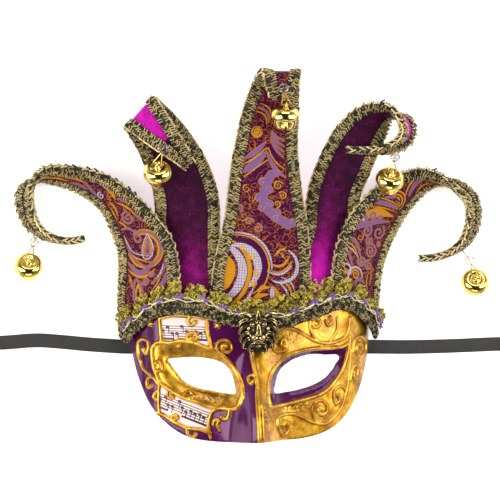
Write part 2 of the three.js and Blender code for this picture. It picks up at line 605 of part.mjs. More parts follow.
const mask = new THREE.Group();
mask.position.set(...CENTRE_SHIFT);

function add(name, geometry, material) {
  geometry.computeVertexNormals();
  const mesh = new THREE.Mesh(geometry, FINISHES[material]);
  mesh.name = name;
  mask.add(mesh);
}

const gimpRoom = gimpBand(GAP);
const laceRoom = laceBand(GAP);
const shellRoom = faceBlock(-GAP, FACE_COLUMNS, FACE_ROWS, 0);
const trimRoom = gimpRoom.add(laceRoom);

add('face', geometryOf(faceShell(gimpRoom)), 'gilded');
add('brow_gimp', geometryOf(gimpBand(0)), 'braid');
add('flower_lace', geometryOf(laceBand(0).subtract(gimpRoom)), 'lace');
add('lion_head', geometryOf(lionHead(trimRoom.add(shellRoom))), 'bronze');

const HORNS = [
  ['outer_left_horn', OUTER_LEFT, 19, 1, 3.5, 'brocade'],
  ['inner_left_horn', INNER_LEFT, 16, 1, 1, 'velvet'],
  ['centre_horn', CENTRE, 17, 1, 4.5, 'brocade'],
  ['inner_right_horn', INNER_RIGHT, 19, -1, 1, 'velvet'],
  ['outer_right_horn', OUTER_RIGHT, 19, -1, 3.5, 'brocade'],
];
const space = hornSpace(gimpRoom);
for (const [name, rows, count, side, crown, cloth] of HORNS) {
  const { panel, braid } = horn(rows, count, side, crown, space);
  add(name, panel, cloth);
  add(`${name}_braid`, braid, 'braid');
}

for (const [place, pendant] of Object.entries(PENDANTS)) {
  const hint = vec(pendant.bead).sub(vec(pendant.bell)).cross(new THREE.Vector3(0, 0, 1)).normalize();
  add(`${place}_bell`, bell(pendant, hint), 'brass');
  add(`${place}_link`, wireLink(pendant, hint), 'brass');
  add(`${place}_bead`, bead(pendant, hint), 'crystal');
}

add('left_ribbon', ribbon(RIBBON_LEFT), 'satin');
add('right_ribbon', ribbon(RIBBON_RIGHT), 'satin');
add('left_ribbon_coil', coil(COIL_LEFT), 'satin');
add('right_ribbon_coil', coil(COIL_RIGHT), 'satin');

export default mask;
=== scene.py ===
"""A venetian jester half mask, lying on its back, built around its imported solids."""
import math
from functools import partial

import bpy
import numpy as np
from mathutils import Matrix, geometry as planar


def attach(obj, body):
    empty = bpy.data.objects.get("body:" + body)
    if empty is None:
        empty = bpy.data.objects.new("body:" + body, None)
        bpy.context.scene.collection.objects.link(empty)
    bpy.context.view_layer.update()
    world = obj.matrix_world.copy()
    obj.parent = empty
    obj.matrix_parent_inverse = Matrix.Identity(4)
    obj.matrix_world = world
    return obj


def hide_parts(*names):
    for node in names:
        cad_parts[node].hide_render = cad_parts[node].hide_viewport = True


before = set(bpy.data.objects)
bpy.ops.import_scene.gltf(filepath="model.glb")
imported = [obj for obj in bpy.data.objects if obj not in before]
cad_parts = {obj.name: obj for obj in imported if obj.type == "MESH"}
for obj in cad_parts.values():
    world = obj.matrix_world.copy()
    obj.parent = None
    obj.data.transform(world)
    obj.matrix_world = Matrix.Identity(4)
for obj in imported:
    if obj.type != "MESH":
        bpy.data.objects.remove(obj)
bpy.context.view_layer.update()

# The camera. It looks down on the mask from 1.5 m, a little from the mask's left side, so the right
# wall of the nose is hidden and the left one shows.
LEAN = math.radians(5.5)
AIM = (-0.0044, 0.0037, 0.030)
DISTANCE = 1.5
VIEW_WIDTH = 0.350                 # what the frame takes in at the aim

camera = bpy.data.objects.new("camera", bpy.data.cameras.new("camera"))
bpy.context.collection.objects.link(camera)
camera.location = (AIM[0] - DISTANCE * math.sin(LEAN), AIM[1], AIM[2] + DISTANCE * math.cos(LEAN))
camera.rotation_euler = (0, -LEAN, 0)
camera.data.sensor_width = 36
camera.data.lens = 36 * DISTANCE / VIEW_WIDTH
camera.data.clip_end = 20
bpy.context.scene.camera = camera
bpy.context.scene.view_settings.view_transform = "Standard"


# Satin ribbons. Two black satin ribbons, 10 mm wide, are glued inside the temples and tie behind the
# head. Each lies flat, then turns on edge and ends in a loose coil that was rolled up on its side.
SHIFT = np.array([-2.215, 0.725, 0.0])   # from the mask's own millimetres to the frame's


def feed(tree, node, inputs):
    """Links or sets a node's inputs, by name or number."""
    for key, value in dict(inputs).items():
        if isinstance(value, bpy.types.NodeSocket):
            tree.links.new(value, node.inputs[key])
        else:
            node.inputs[key].default_value = value


def place(tree, kind, inputs=(), **settings):
    """A node of a tree, with its settings and its inputs."""
    node = tree.nodes.new(kind)
    for key, value in settings.items():
        setattr(node, key, value)
    feed(tree, node, inputs)
    return node


def material(name):
    """A new material with its Principled shader."""
    made = bpy.data.materials.new(name)
    made.use_nodes = True
    return made, made.node_tree, made.node_tree.nodes["Principled BSDF"]


def sums(tree, operation, *values):
    """The result of a Math node."""
    return place(tree, "ShaderNodeMath", enumerate(values), operation=operation).outputs[0]


def blend(tree, share, first, second):
    """Two colours mixed by a share."""
    return place(tree, "ShaderNodeMix", {0: share, 6: first, 7: second}, data_type="RGBA").outputs[2]


def rescaled(tree, value, ends, low=0.0, high=1.0):
    """A value taken from between low and high to between two ends."""
    return place(tree, "ShaderNodeMapRange", {0: value, 1: low, 2: high, 3: ends[0], 4: ends[1]}).outputs[0]


def bump(tree, height, distance, strength=1.0, after=None):
    """A normal that a height tilts, after another bump if one is given."""
    inputs = {"Height": height, "Strength": strength, "Distance": distance}
    if after is not None:
        inputs["Normal"] = after
    return place(tree, "ShaderNodeBump", inputs).outputs[0]


def ramp(tree, share, stops):
    """A colour ramp with its stops."""
    node = place(tree, "ShaderNodeValToRGB", {0: share})
    marks = node.color_ramp.elements
    while len(marks) < len(stops):
        marks.new(0.5)
    for mark, (at, colour) in zip(marks, stops):
        mark.position = at
        mark.color = (*colour, 1)
    return node.outputs[0]


def piece(name, points, faces, finish, smooth=True):
    """A mesh of points in the mask's millimetres."""
    mesh = bpy.data.meshes.new(name)
    mesh.from_pydata(((np.asarray(points) + SHIFT) / 1000).tolist(), [], [list(f) for f in faces])
    mesh.materials.append(finish)
    mesh.polygons.foreach_set("use_smooth", [smooth] * len(mesh.polygons))
    mesh.update()
    made = bpy.data.objects.new(name, mesh)
    bpy.context.collection.objects.link(made)
    return made


def unit(vectors):
    """Vectors made one long."""
    return vectors / np.linalg.norm(vectors, axis=-1)[..., None]


def eased(share):
    """A share between nought and one that starts and ends slowly."""
    share = np.clip(share, 0, 1)
    return share ** 2 * (3 - 2 * share)


def smooth_rows(rows, count, closed=False):
    """A smooth line through rows of numbers, with as many rows as asked."""
    known = np.array(rows, float)
    total = len(known)
    at = np.arange(count) / count * total if closed else np.linspace(0, 1, count) * (total - 1)
    first = np.minimum(np.floor(at).astype(int), total - 1 if closed else total - 2)
    part = (at - first)[:, None]
    if closed:
        a, b, c, d = (known[(first + k) % total] for k in (-1, 0, 1, 2))
    else:
        wide = np.vstack([2 * known[0] - known[1], known, 2 * known[-1] - known[-2]])
        a, b, c, d = (wide[first + k] for k in (0, 1, 2, 3))
    return 0.5 * (2 * b + (c - a) * part + (2 * a - 5 * b + 4 * c - d) * part ** 2
                  + (3 * b - a - 3 * c + d) * part ** 3)


def evenly(line, step):
    """A line walked in equal steps."""
    line = np.asarray(line, float)
    gone = np.concatenate([[0], np.cumsum(np.linalg.norm(np.diff(line[:, :3], axis=0), axis=1))])
    count = max(2, int(round(gone[-1] / step)) + 1)
    at = np.linspace(0, gone[-1], count)
    return np.stack([np.interp(at, gone, column) for column in line.T], axis=1)


def loft(sections, closed_section=True, closed_path=False):
    """Faces between rings of points: rings x points x 3."""
    rings, around = sections.shape[:2]
    faces = []
    for i in range(rings if closed_path else rings - 1):
        j = (i + 1) % rings
        for k in range(around if closed_section else around - 1):
            m = (k + 1) % around
            faces.append((i * around + k, i * around + m, j * around + m, j * around + k))
    if closed_section and not closed_path:
        faces.append(tuple(range(around))[::-1])
        faces.append(tuple((rings - 1) * around + k for k in range(around)))
    return sections.reshape(-1, 3), faces


def outward(made):
    """Turns a closed mesh so that its faces point out."""
    mesh = made.data
    mesh.calc_loop_triangles()
    spots = np.array([v.co for v in mesh.vertices])
    corners = np.array([t.vertices for t in mesh.loop_triangles])
    a, b, c = spots[corners[:, 0]], spots[corners[:, 1]], spots[corners[:, 2]]
    if np.einsum("ij,ij->i", a, np.cross(b, c)).sum() < 0:
        mesh.flip_normals()
    return made


def set_map(made, name, values):
    """A UV map from one pair of numbers a vertex."""
    layer = made.data.uv_layers.new(name=name)
    order = np.empty(len(made.data.loops), dtype=np.int32)
    made.data.loops.foreach_get("vertex_index", order)
    layer.data.foreach_set("uv", np.asarray(values, float)[order].ravel())


satin, tree, shader = material("black_satin")
across = place(tree, "ShaderNodeUVMap", uv_map="length").outputs[0]
spot = place(tree, "ShaderNodeSeparateXYZ", {0: across})
ribs = sums(tree, "SINE", sums(tree, "MULTIPLY", spot.outputs[1], 9.0))
cloudy = place(tree, "ShaderNodeTexNoise", {"Vector": across, "Scale": 0.22, "Detail": 3.0}).outputs[0]
edge = sums(tree, "GREATER_THAN", sums(tree, "ABSOLUTE", spot.outputs[0]), 4.5)
tint = blend(tree, cloudy, (0.012, 0.010, 0.009, 1), (0.030, 0.026, 0.022, 1))
feed(tree, shader, {
    "Base Color": blend(tree, edge, tint, (0.014, 0.013, 0.012, 1)),
    "Roughness": rescaled(tree, ribs, (0.34, 0.5), -1.0), "Normal": bump(tree, ribs, 0.0001, 0.35),
    "Sheen Weight": 0.1, "Sheen Roughness": 0.4,
})

RIBBON_WIDTH = 10.0
RIBBON_THICK = 0.36
TWIST_LENGTH = 24.0
TWIST_AHEAD = 6.0  # the twist is done this far before the coil begins
GLUED_END = 6.0    # what lies hidden under the temple, before the run begins
COIL_TURNS = 2
COIL_RADII = (28.3, 20.9)
FLOOR_GAP = 0.12
RIPPLE = 0.16      # how far the flat run lifts and dips
LEFT_RUN = [[-86.8, -65.8], [-113.3, -64], [-133.1, -62.1], [-151.4, -60.9], [-176.6, -62.5], [-204, -62.5]]
RIGHT_RUN = [[86.8, -66.4], [116.1, -66.7], [145.3, -66.1], [181.9, -64.8], [210, -64.8]]


def ribbon(name, run, centre, turning, nodes):
    """A flat run on the floor, a quarter twist on to its edge, and a coil around a centre."""
    hidden = [run[0][0] - math.copysign(GLUED_END, run[0][0]), run[0][1]]
    flat = evenly(smooth_rows([hidden, *run], 80), 1.2)
    angles = math.pi / 2 + turning * np.linspace(0, 2 * math.pi * COIL_TURNS, 36 * COIL_TURNS)
    radii = np.linspace(*COIL_RADII, len(angles))
    wound = np.stack([centre[0] + radii * np.cos(angles), centre[1] + radii * np.sin(angles)], axis=1)
    line = evenly(smooth_rows(np.vstack([flat[::8], wound]), 700), 2.2)
    gone = np.concatenate([[0], np.cumsum(np.linalg.norm(np.diff(line, axis=0), axis=1))])
    flat_length = np.linalg.norm(np.diff(flat, axis=0), axis=1).sum()
    share = 1 - (flat_length - gone - TWIST_AHEAD) / TWIST_LENGTH
    turn = math.pi / 2 * eased(share)
    along = unit(np.gradient(line, axis=0))
    level = np.stack([-along[:, 1], along[:, 0]], axis=1)
    height = RIBBON_WIDTH / 2 * np.sin(turn) + RIBBON_THICK / 2 + FLOOR_GAP
    ripple = RIPPLE * np.sin(gone / 11.0) * np.cos(turn)
    middle = np.column_stack([line, height + RIPPLE + ripple])
    cross = np.column_stack([level * np.cos(turn)[:, None], np.sin(turn)])
    out = np.column_stack([-level * np.sin(turn)[:, None], np.cos(turn)])
    outline = [(-5, 0), (-4.9, 0.75), (-4.5, 1), (-2.2, 0.8), (0, 0.75), (2.2, 0.8), (4.5, 1), (4.9, 0.75),
               (5, 0), (4.5, -1), (0, -0.8), (-4.5, -1)]
    rings = np.stack([middle + cross * s + out * h * RIBBON_THICK / 2 for s, h in outline], axis=1)
    made = outward(piece(name, *loft(rings), satin))
    set_map(made, "length", [(s, g) for g in gone for s, _ in outline])
    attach(made, "root")
    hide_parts(*nodes)


ribbon("left_satin_ribbon", LEFT_RUN, (-216, -91.8), 1, ("left_ribbon", "left_ribbon_coil"))
ribbon("right_satin_ribbon", RIGHT_RUN, (222, -94.1), -1, ("right_ribbon", "right_ribbon_coil"))


# Floor and light. A white light table under the mask, a tall softbox at each side, one beyond the horn
# tips and a weak one below the chin. The studio's walls are pale and its ceiling dark, so level gilding
# looks deep.
light_table, tree, shader = material("white_light_table")
feed(tree, shader, {"Base Color": (0.88, 0.88, 0.88, 1), "Roughness": 0.9, "Specular IOR Level": 0.1,
                    "Emission Color": (1, 1, 1, 1), "Emission Strength": 0.56})
floor_mesh = bpy.data.meshes.new("floor")
FLOOR_REACH = 3
corners = [(-FLOOR_REACH, -FLOOR_REACH, 0), (FLOOR_REACH, -FLOOR_REACH, 0), (FLOOR_REACH, FLOOR_REACH, 0),
           (-FLOOR_REACH, FLOOR_REACH, 0)]
floor_mesh.from_pydata(corners, [], [(0, 1, 2, 3)])
floor_mesh.materials.append(light_table)
floor = bpy.data.objects.new("floor", floor_mesh)
bpy.context.collection.objects.link(floor)

world = bpy.data.worlds.new("studio")
world.use_nodes = True
tree = world.node_tree
way = place(tree, "ShaderNodeSeparateXYZ", {0: place(tree, "ShaderNodeTexCoord").outputs["Generated"]})
walls = ramp(tree, way.outputs[2], [(at, (grey,) * 3) for at, grey in ((0.0, 0.9), (0.25, 0.6), (0.55, 0.13),
                                                                       (0.9, 0.03))])
feed(tree, tree.nodes["Background"], {0: walls, 1: 0.75})
bpy.context.scene.world = world

# each: where it stands, its width and height, and its power
SOFTBOXES = {
    "left_softbox": ((-1.25, -0.1, 0.95), (0.8, 1.5), 21),
    "right_softbox": ((1.25, 0.1, 1.0), (0.8, 1.5), 19),
    "top_softbox": ((0.1, 1.35, 1.15), (1.5, 0.6), 10),
    "low_softbox": ((-0.1, -1.4, 0.9), (1.2, 0.5), 4),
}
for name, (spot, size, power) in SOFTBOXES.items():
    lamp = bpy.data.lights.new(name, "AREA")
    lamp.shape = "RECTANGLE"
    lamp.size, lamp.size_y = size
    lamp.energy = power
    box = bpy.data.objects.new(name, lamp)
    bpy.context.collection.objects.link(box)
    box.location = spot
    box.rotation_euler = (-box.location).to_track_quat("-Z", "Y").to_euler()


# The face. A half mask of papier-mache, 2.4 mm thick: pulp and paper pressed into a mould with its
# scrolls, then lacquered purple on one half and gilded and toned with brown glaze on the other.
FACE_HALF = 86.0
WALL = 2.4
LOWER_RIM = [
    [-85.9, -60], [-84, -68], [-81.8, -79], [-79, -88.5], [-74.5, -100], [-69.5, -108.5], [-62.5, -116],
    [-55, -122], [-46, -126.5], [-33.5, -129], [-19, -129.6], [0, -128.4], [19, -128.6], [33.5, -127.8],
    [46, -125.2], [55.5, -121], [64.5, -114], [72, -103.8], [77.2, -93.4], [80.8, -83], [83.8, -72],
    [85.9, -60],
]
LEFT_OPENING = [
    [-60.5, -73], [-52, -71.5], [-43.5, -71], [-34.5, -71.5], [-25, -74], [-19.5, -78], [-16, -84],
    [-14.5, -90.5], [-14.5, -96.5], [-22, -96.5], [-31, -95], [-41, -93], [-49, -89], [-54, -83.5],
    [-58.5, -77.5],
]
RIGHT_OPENING = [
    [13.5, -96], [14, -89], [16.5, -81.5], [22.5, -75.5], [30.5, -71.5], [40.5, -69.5], [50.5, -70],
    [61, -71], [59, -77.5], [54.5, -83.5], [49, -88], [40.5, -92], [31.5, -94.5], [22.5, -96],
]
LEFT_RAIL = [
    [-65, -61], [-69.5, -64], [-70.5, -69], [-69.5, -78], [-67.5, -84], [-65, -89.5], [-59.5, -93.5],
    [-50.5, -99], [-41, -102], [-32.5, -105.5], [-23.5, -106.5], [-14.5, -106], [-11, -100], [-9.5, -94.5],
    [-11, -86.5], [-15.5, -78], [-21.5, -71], [-27.5, -67], [-35, -64], [-43, -61], [-52, -60],
    [-58.5, -61.5],
]
RIGHT_RIM = [
    [10, -105], [8, -99], [8, -91], [10.5, -82.5], [16.5, -74.5], [24, -69.5], [32, -67], [41.5, -65.5],
    [51.5, -65.5], [62, -65], [67.5, -63], [66.5, -69.5], [64.5, -76.5], [61, -83.5], [56, -90], [50, -95.5],
    [42, -99], [32, -101.5], [22.5, -103.5], [12.5, -105],
]
GIMP_LINE = [
    [-89.6, -60, 7.5], [-85.8, -54, 12.5], [-80.5, -48.5, 19], [-72.5, -41.2, 28], [-65.4, -37.7, 34],
    [-55.3, -36.9, 40.4], [-41.2, -37.4, 46.6], [-33.1, -39.4, 49], [-24.9, -42.2, 50.8],
    [-15.4, -44.6, 52.2],
    [1.1, -46.6, 53.2], [18.6, -46.4, 52.2], [30.8, -42.7, 49.8], [41.7, -39.4, 46.4], [51.4, -35.7, 42.2],
    [62.1, -33.6, 36.2], [70.6, -35.8, 30], [79.2, -41.5, 20.5], [86.4, -49.3, 12.5], [90.4, -58.5, 7.5],
]
# Scroll cords: the line, and how thick it starts and ends
CORDS = [
    ([[-72.5, -84], [-76.5, -80], [-78.5, -74.5], [-80, -69], [-80, -62.5], [-77, -59.5], [-73.5, -61],
      [-73, -65.5], [-74.5, -69.5], [-76.5, -66.5]], 1.0, 1.5),
    ([[-66.5, -90.5], [-69.5, -86.5], [-72, -86], [-74, -89.5], [-73, -93], [-71, -92]], 1.0, 1.6),
    ([[-66, -94.5], [-68.5, -97], [-69.5, -99.5], [-67.5, -101.5]], 0.9, 1.5),
    ([[-47, -60.5], [-50.5, -59], [-54, -60], [-55, -62.5], [-53.5, -64.5], [-52, -63.5]], 1.0, 1.5),
    ([[-42.5, -61], [-46, -59.5], [-47, -57], [-45, -54.5], [-41.5, -54.5], [-40, -57], [-41.5, -60],
      [-44, -58.5]], 1.1, 2.2),
    ([[-27, -67.5], [-27, -63.5], [-25, -60], [-20.5, -59.5], [-17, -62], [-17, -66], [-20.5, -67.5],
      [-23, -65.5], [-22.5, -63], [-20, -63.5]], 1.1, 2.2),
    ([[-33, -44], [-33.5, -52.5], [-32.5, -57], [-31, -62.5], [-28.5, -66]], 1.2, 1.2),
    ([[-65.5, -44.5], [-65, -52.5], [-64.5, -58.5], [-64.5, -62]], 1.2, 1.3),
    ([[-66, -45], [-58, -43], [-48, -42.5], [-40, -43.5], [-33, -45]], 1.0, 1.0),
    ([[-45, -43.5], [-46.5, -46.5], [-44, -49], [-41.5, -47]], 1.2, 1.7),
    ([[-65.5, -89.5], [-66, -96.5], [-66, -104.5], [-65.5, -110.5]], 1.1, 1.2),
    ([[-65.5, -110.5], [-61.5, -112.5], [-56.5, -116], [-51.5, -118.5], [-47, -120.5], [-42, -121],
      [-37, -121.5], [-31, -124]], 1.2, 1.2),
    ([[-31, -127], [-32.5, -119], [-31.5, -113], [-29.5, -108.5], [-25.5, -106.5]], 1.1, 1.3),
    ([[-59.5, -94.5], [-60, -98], [-58, -100.5], [-56, -99], [-57, -97]], 0.9, 1.5),
    ([[-50, -98.5], [-47.5, -96], [-44.5, -95.5], [-42.5, -98], [-45, -99.5]], 0.9, 1.6),
    ([[-25.5, -106.5], [-21.5, -105.5], [-18.5, -108], [-19.5, -112.5], [-22, -114], [-23.5, -112.5]],
     1.2, 1.7),
    ([[-29, -118], [-28, -114.5], [-25.5, -115.5], [-26.5, -118.5], [-25, -121.5]], 1.2, 1.1),
    ([[-66.5, -110.5], [-67, -113.5], [-64.5, -115]], 1.3, 1.5),
    ([[-57, -116], [-57, -113], [-54.5, -111.5], [-53, -113.5], [-55, -115]], 1.0, 1.6),
    ([[-47, -120.5], [-46.5, -124.5], [-43.5, -127], [-41, -125]], 1.1, 1.5),
    ([[-68.5, -76.5], [-66.5, -74.5], [-64.5, -76.5], [-64.5, -80.5], [-67, -81.5]], 0.9, 1.3),
    ([[-3, -62], [-3, -70], [-2, -77], [-1, -83], [0, -89.5], [-0.5, -96], [-0.5, -103], [-0.3, -110],
      [0, -118], [0.3, -127]], 1.5, 1.3),
    ([[-0.5, -88], [-1, -84], [-4, -83], [-6, -85.5], [-4.5, -88.5], [-2.5, -87]], 1.1, 1.7),
    ([[2, -106], [2.4, -116], [2.7, -126.5]], 1.3, 1.2),
    ([[11.5, -63], [13, -66], [16.5, -67.5], [20.5, -66.5], [21.5, -62.5], [19.5, -59], [17.5, -60.5],
      [17.5, -63], [19.5, -63.5]], 1.1, 1.9),
    ([[11, -58], [12, -54.5], [15.5, -52.5], [22.5, -51], [28.5, -52.5], [34.5, -56], [40.5, -59.5],
      [46.5, -61.5], [53, -62], [59, -60.5], [64.5, -58], [67, -53.5], [68.5, -45]], 1.0, 1.1),
    ([[38, -44.5], [38.5, -51.5], [40.5, -56.5], [44, -60.5]], 0.9, 1.0),
    ([[58.5, -44.5], [58.5, -52], [56, -57], [53, -60.5]], 0.9, 1.0),
    ([[40, -47], [41, -50.5], [44.5, -50], [45.5, -46.5], [43, -45]], 1.0, 1.6),
    ([[49.5, -46.5], [51.5, -49.5], [54.5, -47.5], [53, -44.5]], 1.0, 1.6),
    ([[71, -69], [72, -62], [75, -58.5], [79.5, -58.5], [83, -63.5], [82, -69.5], [78, -72.5], [74.5, -70],
      [74, -66], [76.5, -63.5], [79, -66.5]], 1.0, 1.6),
    ([[69, -88.5], [70, -83.5], [72, -79], [74, -78.5], [75.5, -81], [74.5, -86], [72, -87], [72, -83]],
     0.8, 1.1),
    ([[68.5, -58], [69, -72.5], [67.5, -84], [66.5, -93], [65, -98.5], [63, -104.5], [60, -110], [55.5, -115],
      [50.5, -118], [45, -118], [39.5, -116.5], [33.5, -113.5], [27.5, -111], [22, -110.5], [17, -111.5],
      [14.5, -114], [15, -119], [18.5, -124.5], [22, -123], [22.5, -118.5], [20.5, -116], [18.5, -118]],
     0.9, 1.7),
    ([[45, -118], [42, -115], [40.5, -109], [41.5, -104.5], [44.5, -102], [48.5, -102.5], [51, -106],
      [50.5, -110], [47.5, -112], [45, -110], [45.5, -107], [48, -108]], 0.9, 1.7),
    ([[64, -102], [65.5, -97.5], [64, -94], [60.5, -92.5], [56.5, -95.5], [56, -100], [57.5, -104.5],
      [60, -102.5], [59.5, -99]], 0.8, 1.3),
]
# the two pasted papers, and the moulded buds: middle and size
PANELS = [
    [[-65.5, -43.5], [-33, -44.5], [-31, -62], [-35.5, -64], [-43, -61], [-52, -60], [-58.5, -61.5],
     [-64.5, -61]],
    [[-65.2, -90], [-59.5, -93.5], [-50.5, -99], [-41, -102], [-32.5, -105.5], [-29.5, -108], [-32.5, -121.5],
     [-47, -120], [-56.5, -115.5], [-65.3, -110]],
]
BUDS = [(-26, -49, 2.6), (-71.5, -48.5, 2.4), (1.2, -104, 2.2)]


def polygon_distance(outline, x, y):
    """How far each point is from a closed outline."""
    nearest = np.full(x.shape, 1e9)
    for (ax, ay), (bx, by) in zip(outline, [*outline[1:], outline[0]]):
        run_x, run_y = bx - ax, by - ay
        part = np.clip(((x - ax) * run_x + (y - ay) * run_y) / (run_x ** 2 + run_y ** 2), 0, 1)
        nearest = np.minimum(nearest, np.hypot(x - ax - part * run_x, y - ay - part * run_y))
    return nearest


def inside(outline, x, y):
    """Which points lie within a closed outline."""
    within = np.zeros(x.shape, bool)
    for (ax, ay), (bx, by) in zip(outline, [*outline[1:], outline[0]]):
        if ay != by:
            within ^= ((ay > y) != (by > y)) & (x < ax + (y - ay) * (bx - ax) / (by - ay))
    return within


def signed_depth(outline, x, y):
    """How deep each point lies within an outline; negative is outside."""
    return np.where(inside(outline, x, y), 1, -1) * polygon_distance(outline, x, y)


def face_height(x, y):
    """The face's surface: a crowned brow, a nose, and a bowl around each eye."""
    down = eased((-52 - y) / 75)
    around = (1 - np.minimum(1, np.abs(x) / FACE_HALF) ** 2.2) ** 0.62
    height = (50 - 4 * ((y + 60) / 70) ** 2) * around + 25 * down * np.exp(-(x / (8.5 + 5.5 * down)) ** 2)
    for opening, rail in ((LEFT_OPENING, LEFT_RAIL), (RIGHT_OPENING, RIGHT_RIM)):
        to_hole = np.where(inside(opening, x, y), 0, polygon_distance(opening, x, y))
        to_rail = polygon_distance(rail, x, y)
        height -= np.where(inside(rail, x, y), 4 * eased(1 - to_hole / (to_hole + to_rail + 1e-6)), 0)
    return height


def face_normal(x, y):
    """The way the face's surface looks, from the heights a step to each side."""
    step = 0.3
    left, right = np.maximum(x - step, -FACE_HALF + 0.01), np.minimum(x + step, FACE_HALF - 0.01)
    across = np.stack([right - left, 0 * x, face_height(right, y) - face_height(left, y)], axis=1)
    along = np.stack([0 * x, 0 * x + 2 * step, face_height(x, y + step) - face_height(x, y - step)], axis=1)
    return unit(np.cross(across, along))


# Walked length over the brow stands for x, so that the mesh is as fine on the steep temples
walk_x = FACE_HALF * np.sin(np.linspace(-math.pi / 2, math.pi / 2, 2001))
walk_z = 48 * (1 - np.minimum(1, np.abs(walk_x) / FACE_HALF) ** 2.2) ** 0.62
walked = np.concatenate([[0], np.cumsum(np.hypot(np.diff(walk_x), np.diff(walk_z)))])
walked -= walked[-1] / 2


def walk_of(x):
    """The walked length that stands for x."""
    return np.interp(x, walk_x, walked)


def x_of(walk):
    """The x that a walked length stands for."""
    return np.interp(walk, walked, walk_x)


CORD_SLIMMING = 0.87
cord_runs = [(evenly(smooth_rows(line, 12 * len(line)), 0.5), start, end) for line, start, end in CORDS]
for rail, thick in ((LEFT_RAIL, 1.35), (RIGHT_RIM, 1.15)):
    ring = smooth_rows(rail, 14 * len(rail), True)
    cord_runs.append((evenly(np.vstack([ring, ring[:1]]), 0.5), thick, thick))


def relief(x, y):
    """How far the scrolls stand up, and how near each point is to one's flank."""
    rise = np.zeros(x.shape)
    flank = np.full(x.shape, 9.0)
    for line, start, end in cord_runs:
        low, high = line.min(axis=0) - 6, line.max(axis=0) + 6
        near = np.nonzero((x > low[0]) & (x < high[0]) & (y > low[1]) & (y < high[1]))[0]
        if not len(near):
            continue
        gaps = np.hypot(x[near, None] - line[None, :, 0], y[near, None] - line[None, :, 1])
        share = np.linspace(0, 1, len(line))
        radius = CORD_SLIMMING * (start + (end - start) * share ** 6)
        best = (gaps - radius[None, :]).argmin(axis=1)
        gap, thick = gaps[np.arange(len(near)), best], radius[best]
        rise[near] = np.maximum(rise[near], 1.15 * thick * np.sqrt(np.clip(1 - (gap / thick) ** 2, 0, 1)))
        flank[near] = np.minimum(flank[near], gap - thick)
    for bx, by, size in BUDS:
        gap = np.hypot(x - bx, y - by)
        petals = 0.78 + 0.22 * np.cos(5 * np.arctan2(y - by, x - bx))
        rise = np.maximum(rise, 1.5 * np.sqrt(np.clip(1 - (gap / (size * petals)) ** 2, 0, 1)))
        flank = np.minimum(flank, gap - size * petals)
    return rise, flank


brow_line = [[max(-85.5, min(85.5, x * 0.985)), y - 0.5] for x, y, _ in GIMP_LINE]
OUTER = [*LOWER_RIM, *brow_line[::-1][1:-1]]


def walked_ring(outline, step):
    """A smooth closed outline, in equal steps of walked length."""
    ring = smooth_rows(outline, 16 * len(outline), True)
    ring[:, 0] = np.clip(ring[:, 0], -85.95, 85.95)
    flat = np.column_stack([walk_of(ring[:, 0]), ring[:, 1]])
    return evenly(np.vstack([flat, flat[:1]]), step)[:-1]


def sheet_mesh(rings, points):
    """Triangles over an outer ring, around its holes."""
    spots, edges = [], []
    for ring in rings:
        first = len(spots)
        spots.extend(ring.tolist())
        edges.extend((first + i, first + (i + 1) % len(ring)) for i in range(len(ring)))
    spots.extend(points.tolist())
    made, _, faces, _, _, _ = planar.delaunay_2d_cdt(spots, edges, [], 0, 1e-6, False)
    made = np.array([tuple(v) for v in made])
    faces = np.array([f for f in faces if len(f) == 3])
    middle = made[faces].mean(axis=1)
    keep = inside(rings[0].tolist(), middle[:, 0], middle[:, 1])
    for hole in rings[1:]:
        keep &= ~inside(hole.tolist(), middle[:, 0], middle[:, 1])
    return made, faces[keep]


def scattered(rings, step, wanted=None):
    """Grid points inside the rings, off their edges."""
    low, high = rings[0].min(axis=0), rings[0].max(axis=0)
    rows = np.arange(low[1], high[1], step * 0.87)
    grid = []
    for i, row in enumerate(rows):
        spots = np.arange(low[0] + (i % 2) * step / 2, high[0], step)
        grid.append(np.column_stack([spots, np.full(len(spots), row)]))
    grid = np.concatenate(grid)
    keep = inside(rings[0].tolist(), grid[:, 0], grid[:, 1])
    for k, ring in enumerate(rings):
        keep &= polygon_distance(ring[::2].tolist(), grid[:, 0], grid[:, 1]) > 0.45 * step
        if k:
            keep &= ~inside(ring.tolist(), grid[:, 0], grid[:, 1])
    grid = grid[keep]
    return grid if wanted is None else grid[wanted(grid)]


def turned_ring(ring, clockwise):
    """A closed ring, run the way that is asked."""
    area = np.sum(ring[:, 0] * np.roll(ring[:, 1], -1) - np.roll(ring[:, 0], -1) * ring[:, 1])
    return ring[::-1] if (area > 0) == clockwise else ring


CORD_REACH = 0.7      # how far round the cords the mesh is fine


def near_cord(grid):
    """Which grid points need the fine mesh."""
    return relief(x_of(grid[:, 0]), grid[:, 1])[1] < CORD_REACH


def off_cord(grid):
    """Which grid points do with the coarse one."""
    return ~near_cord(grid)


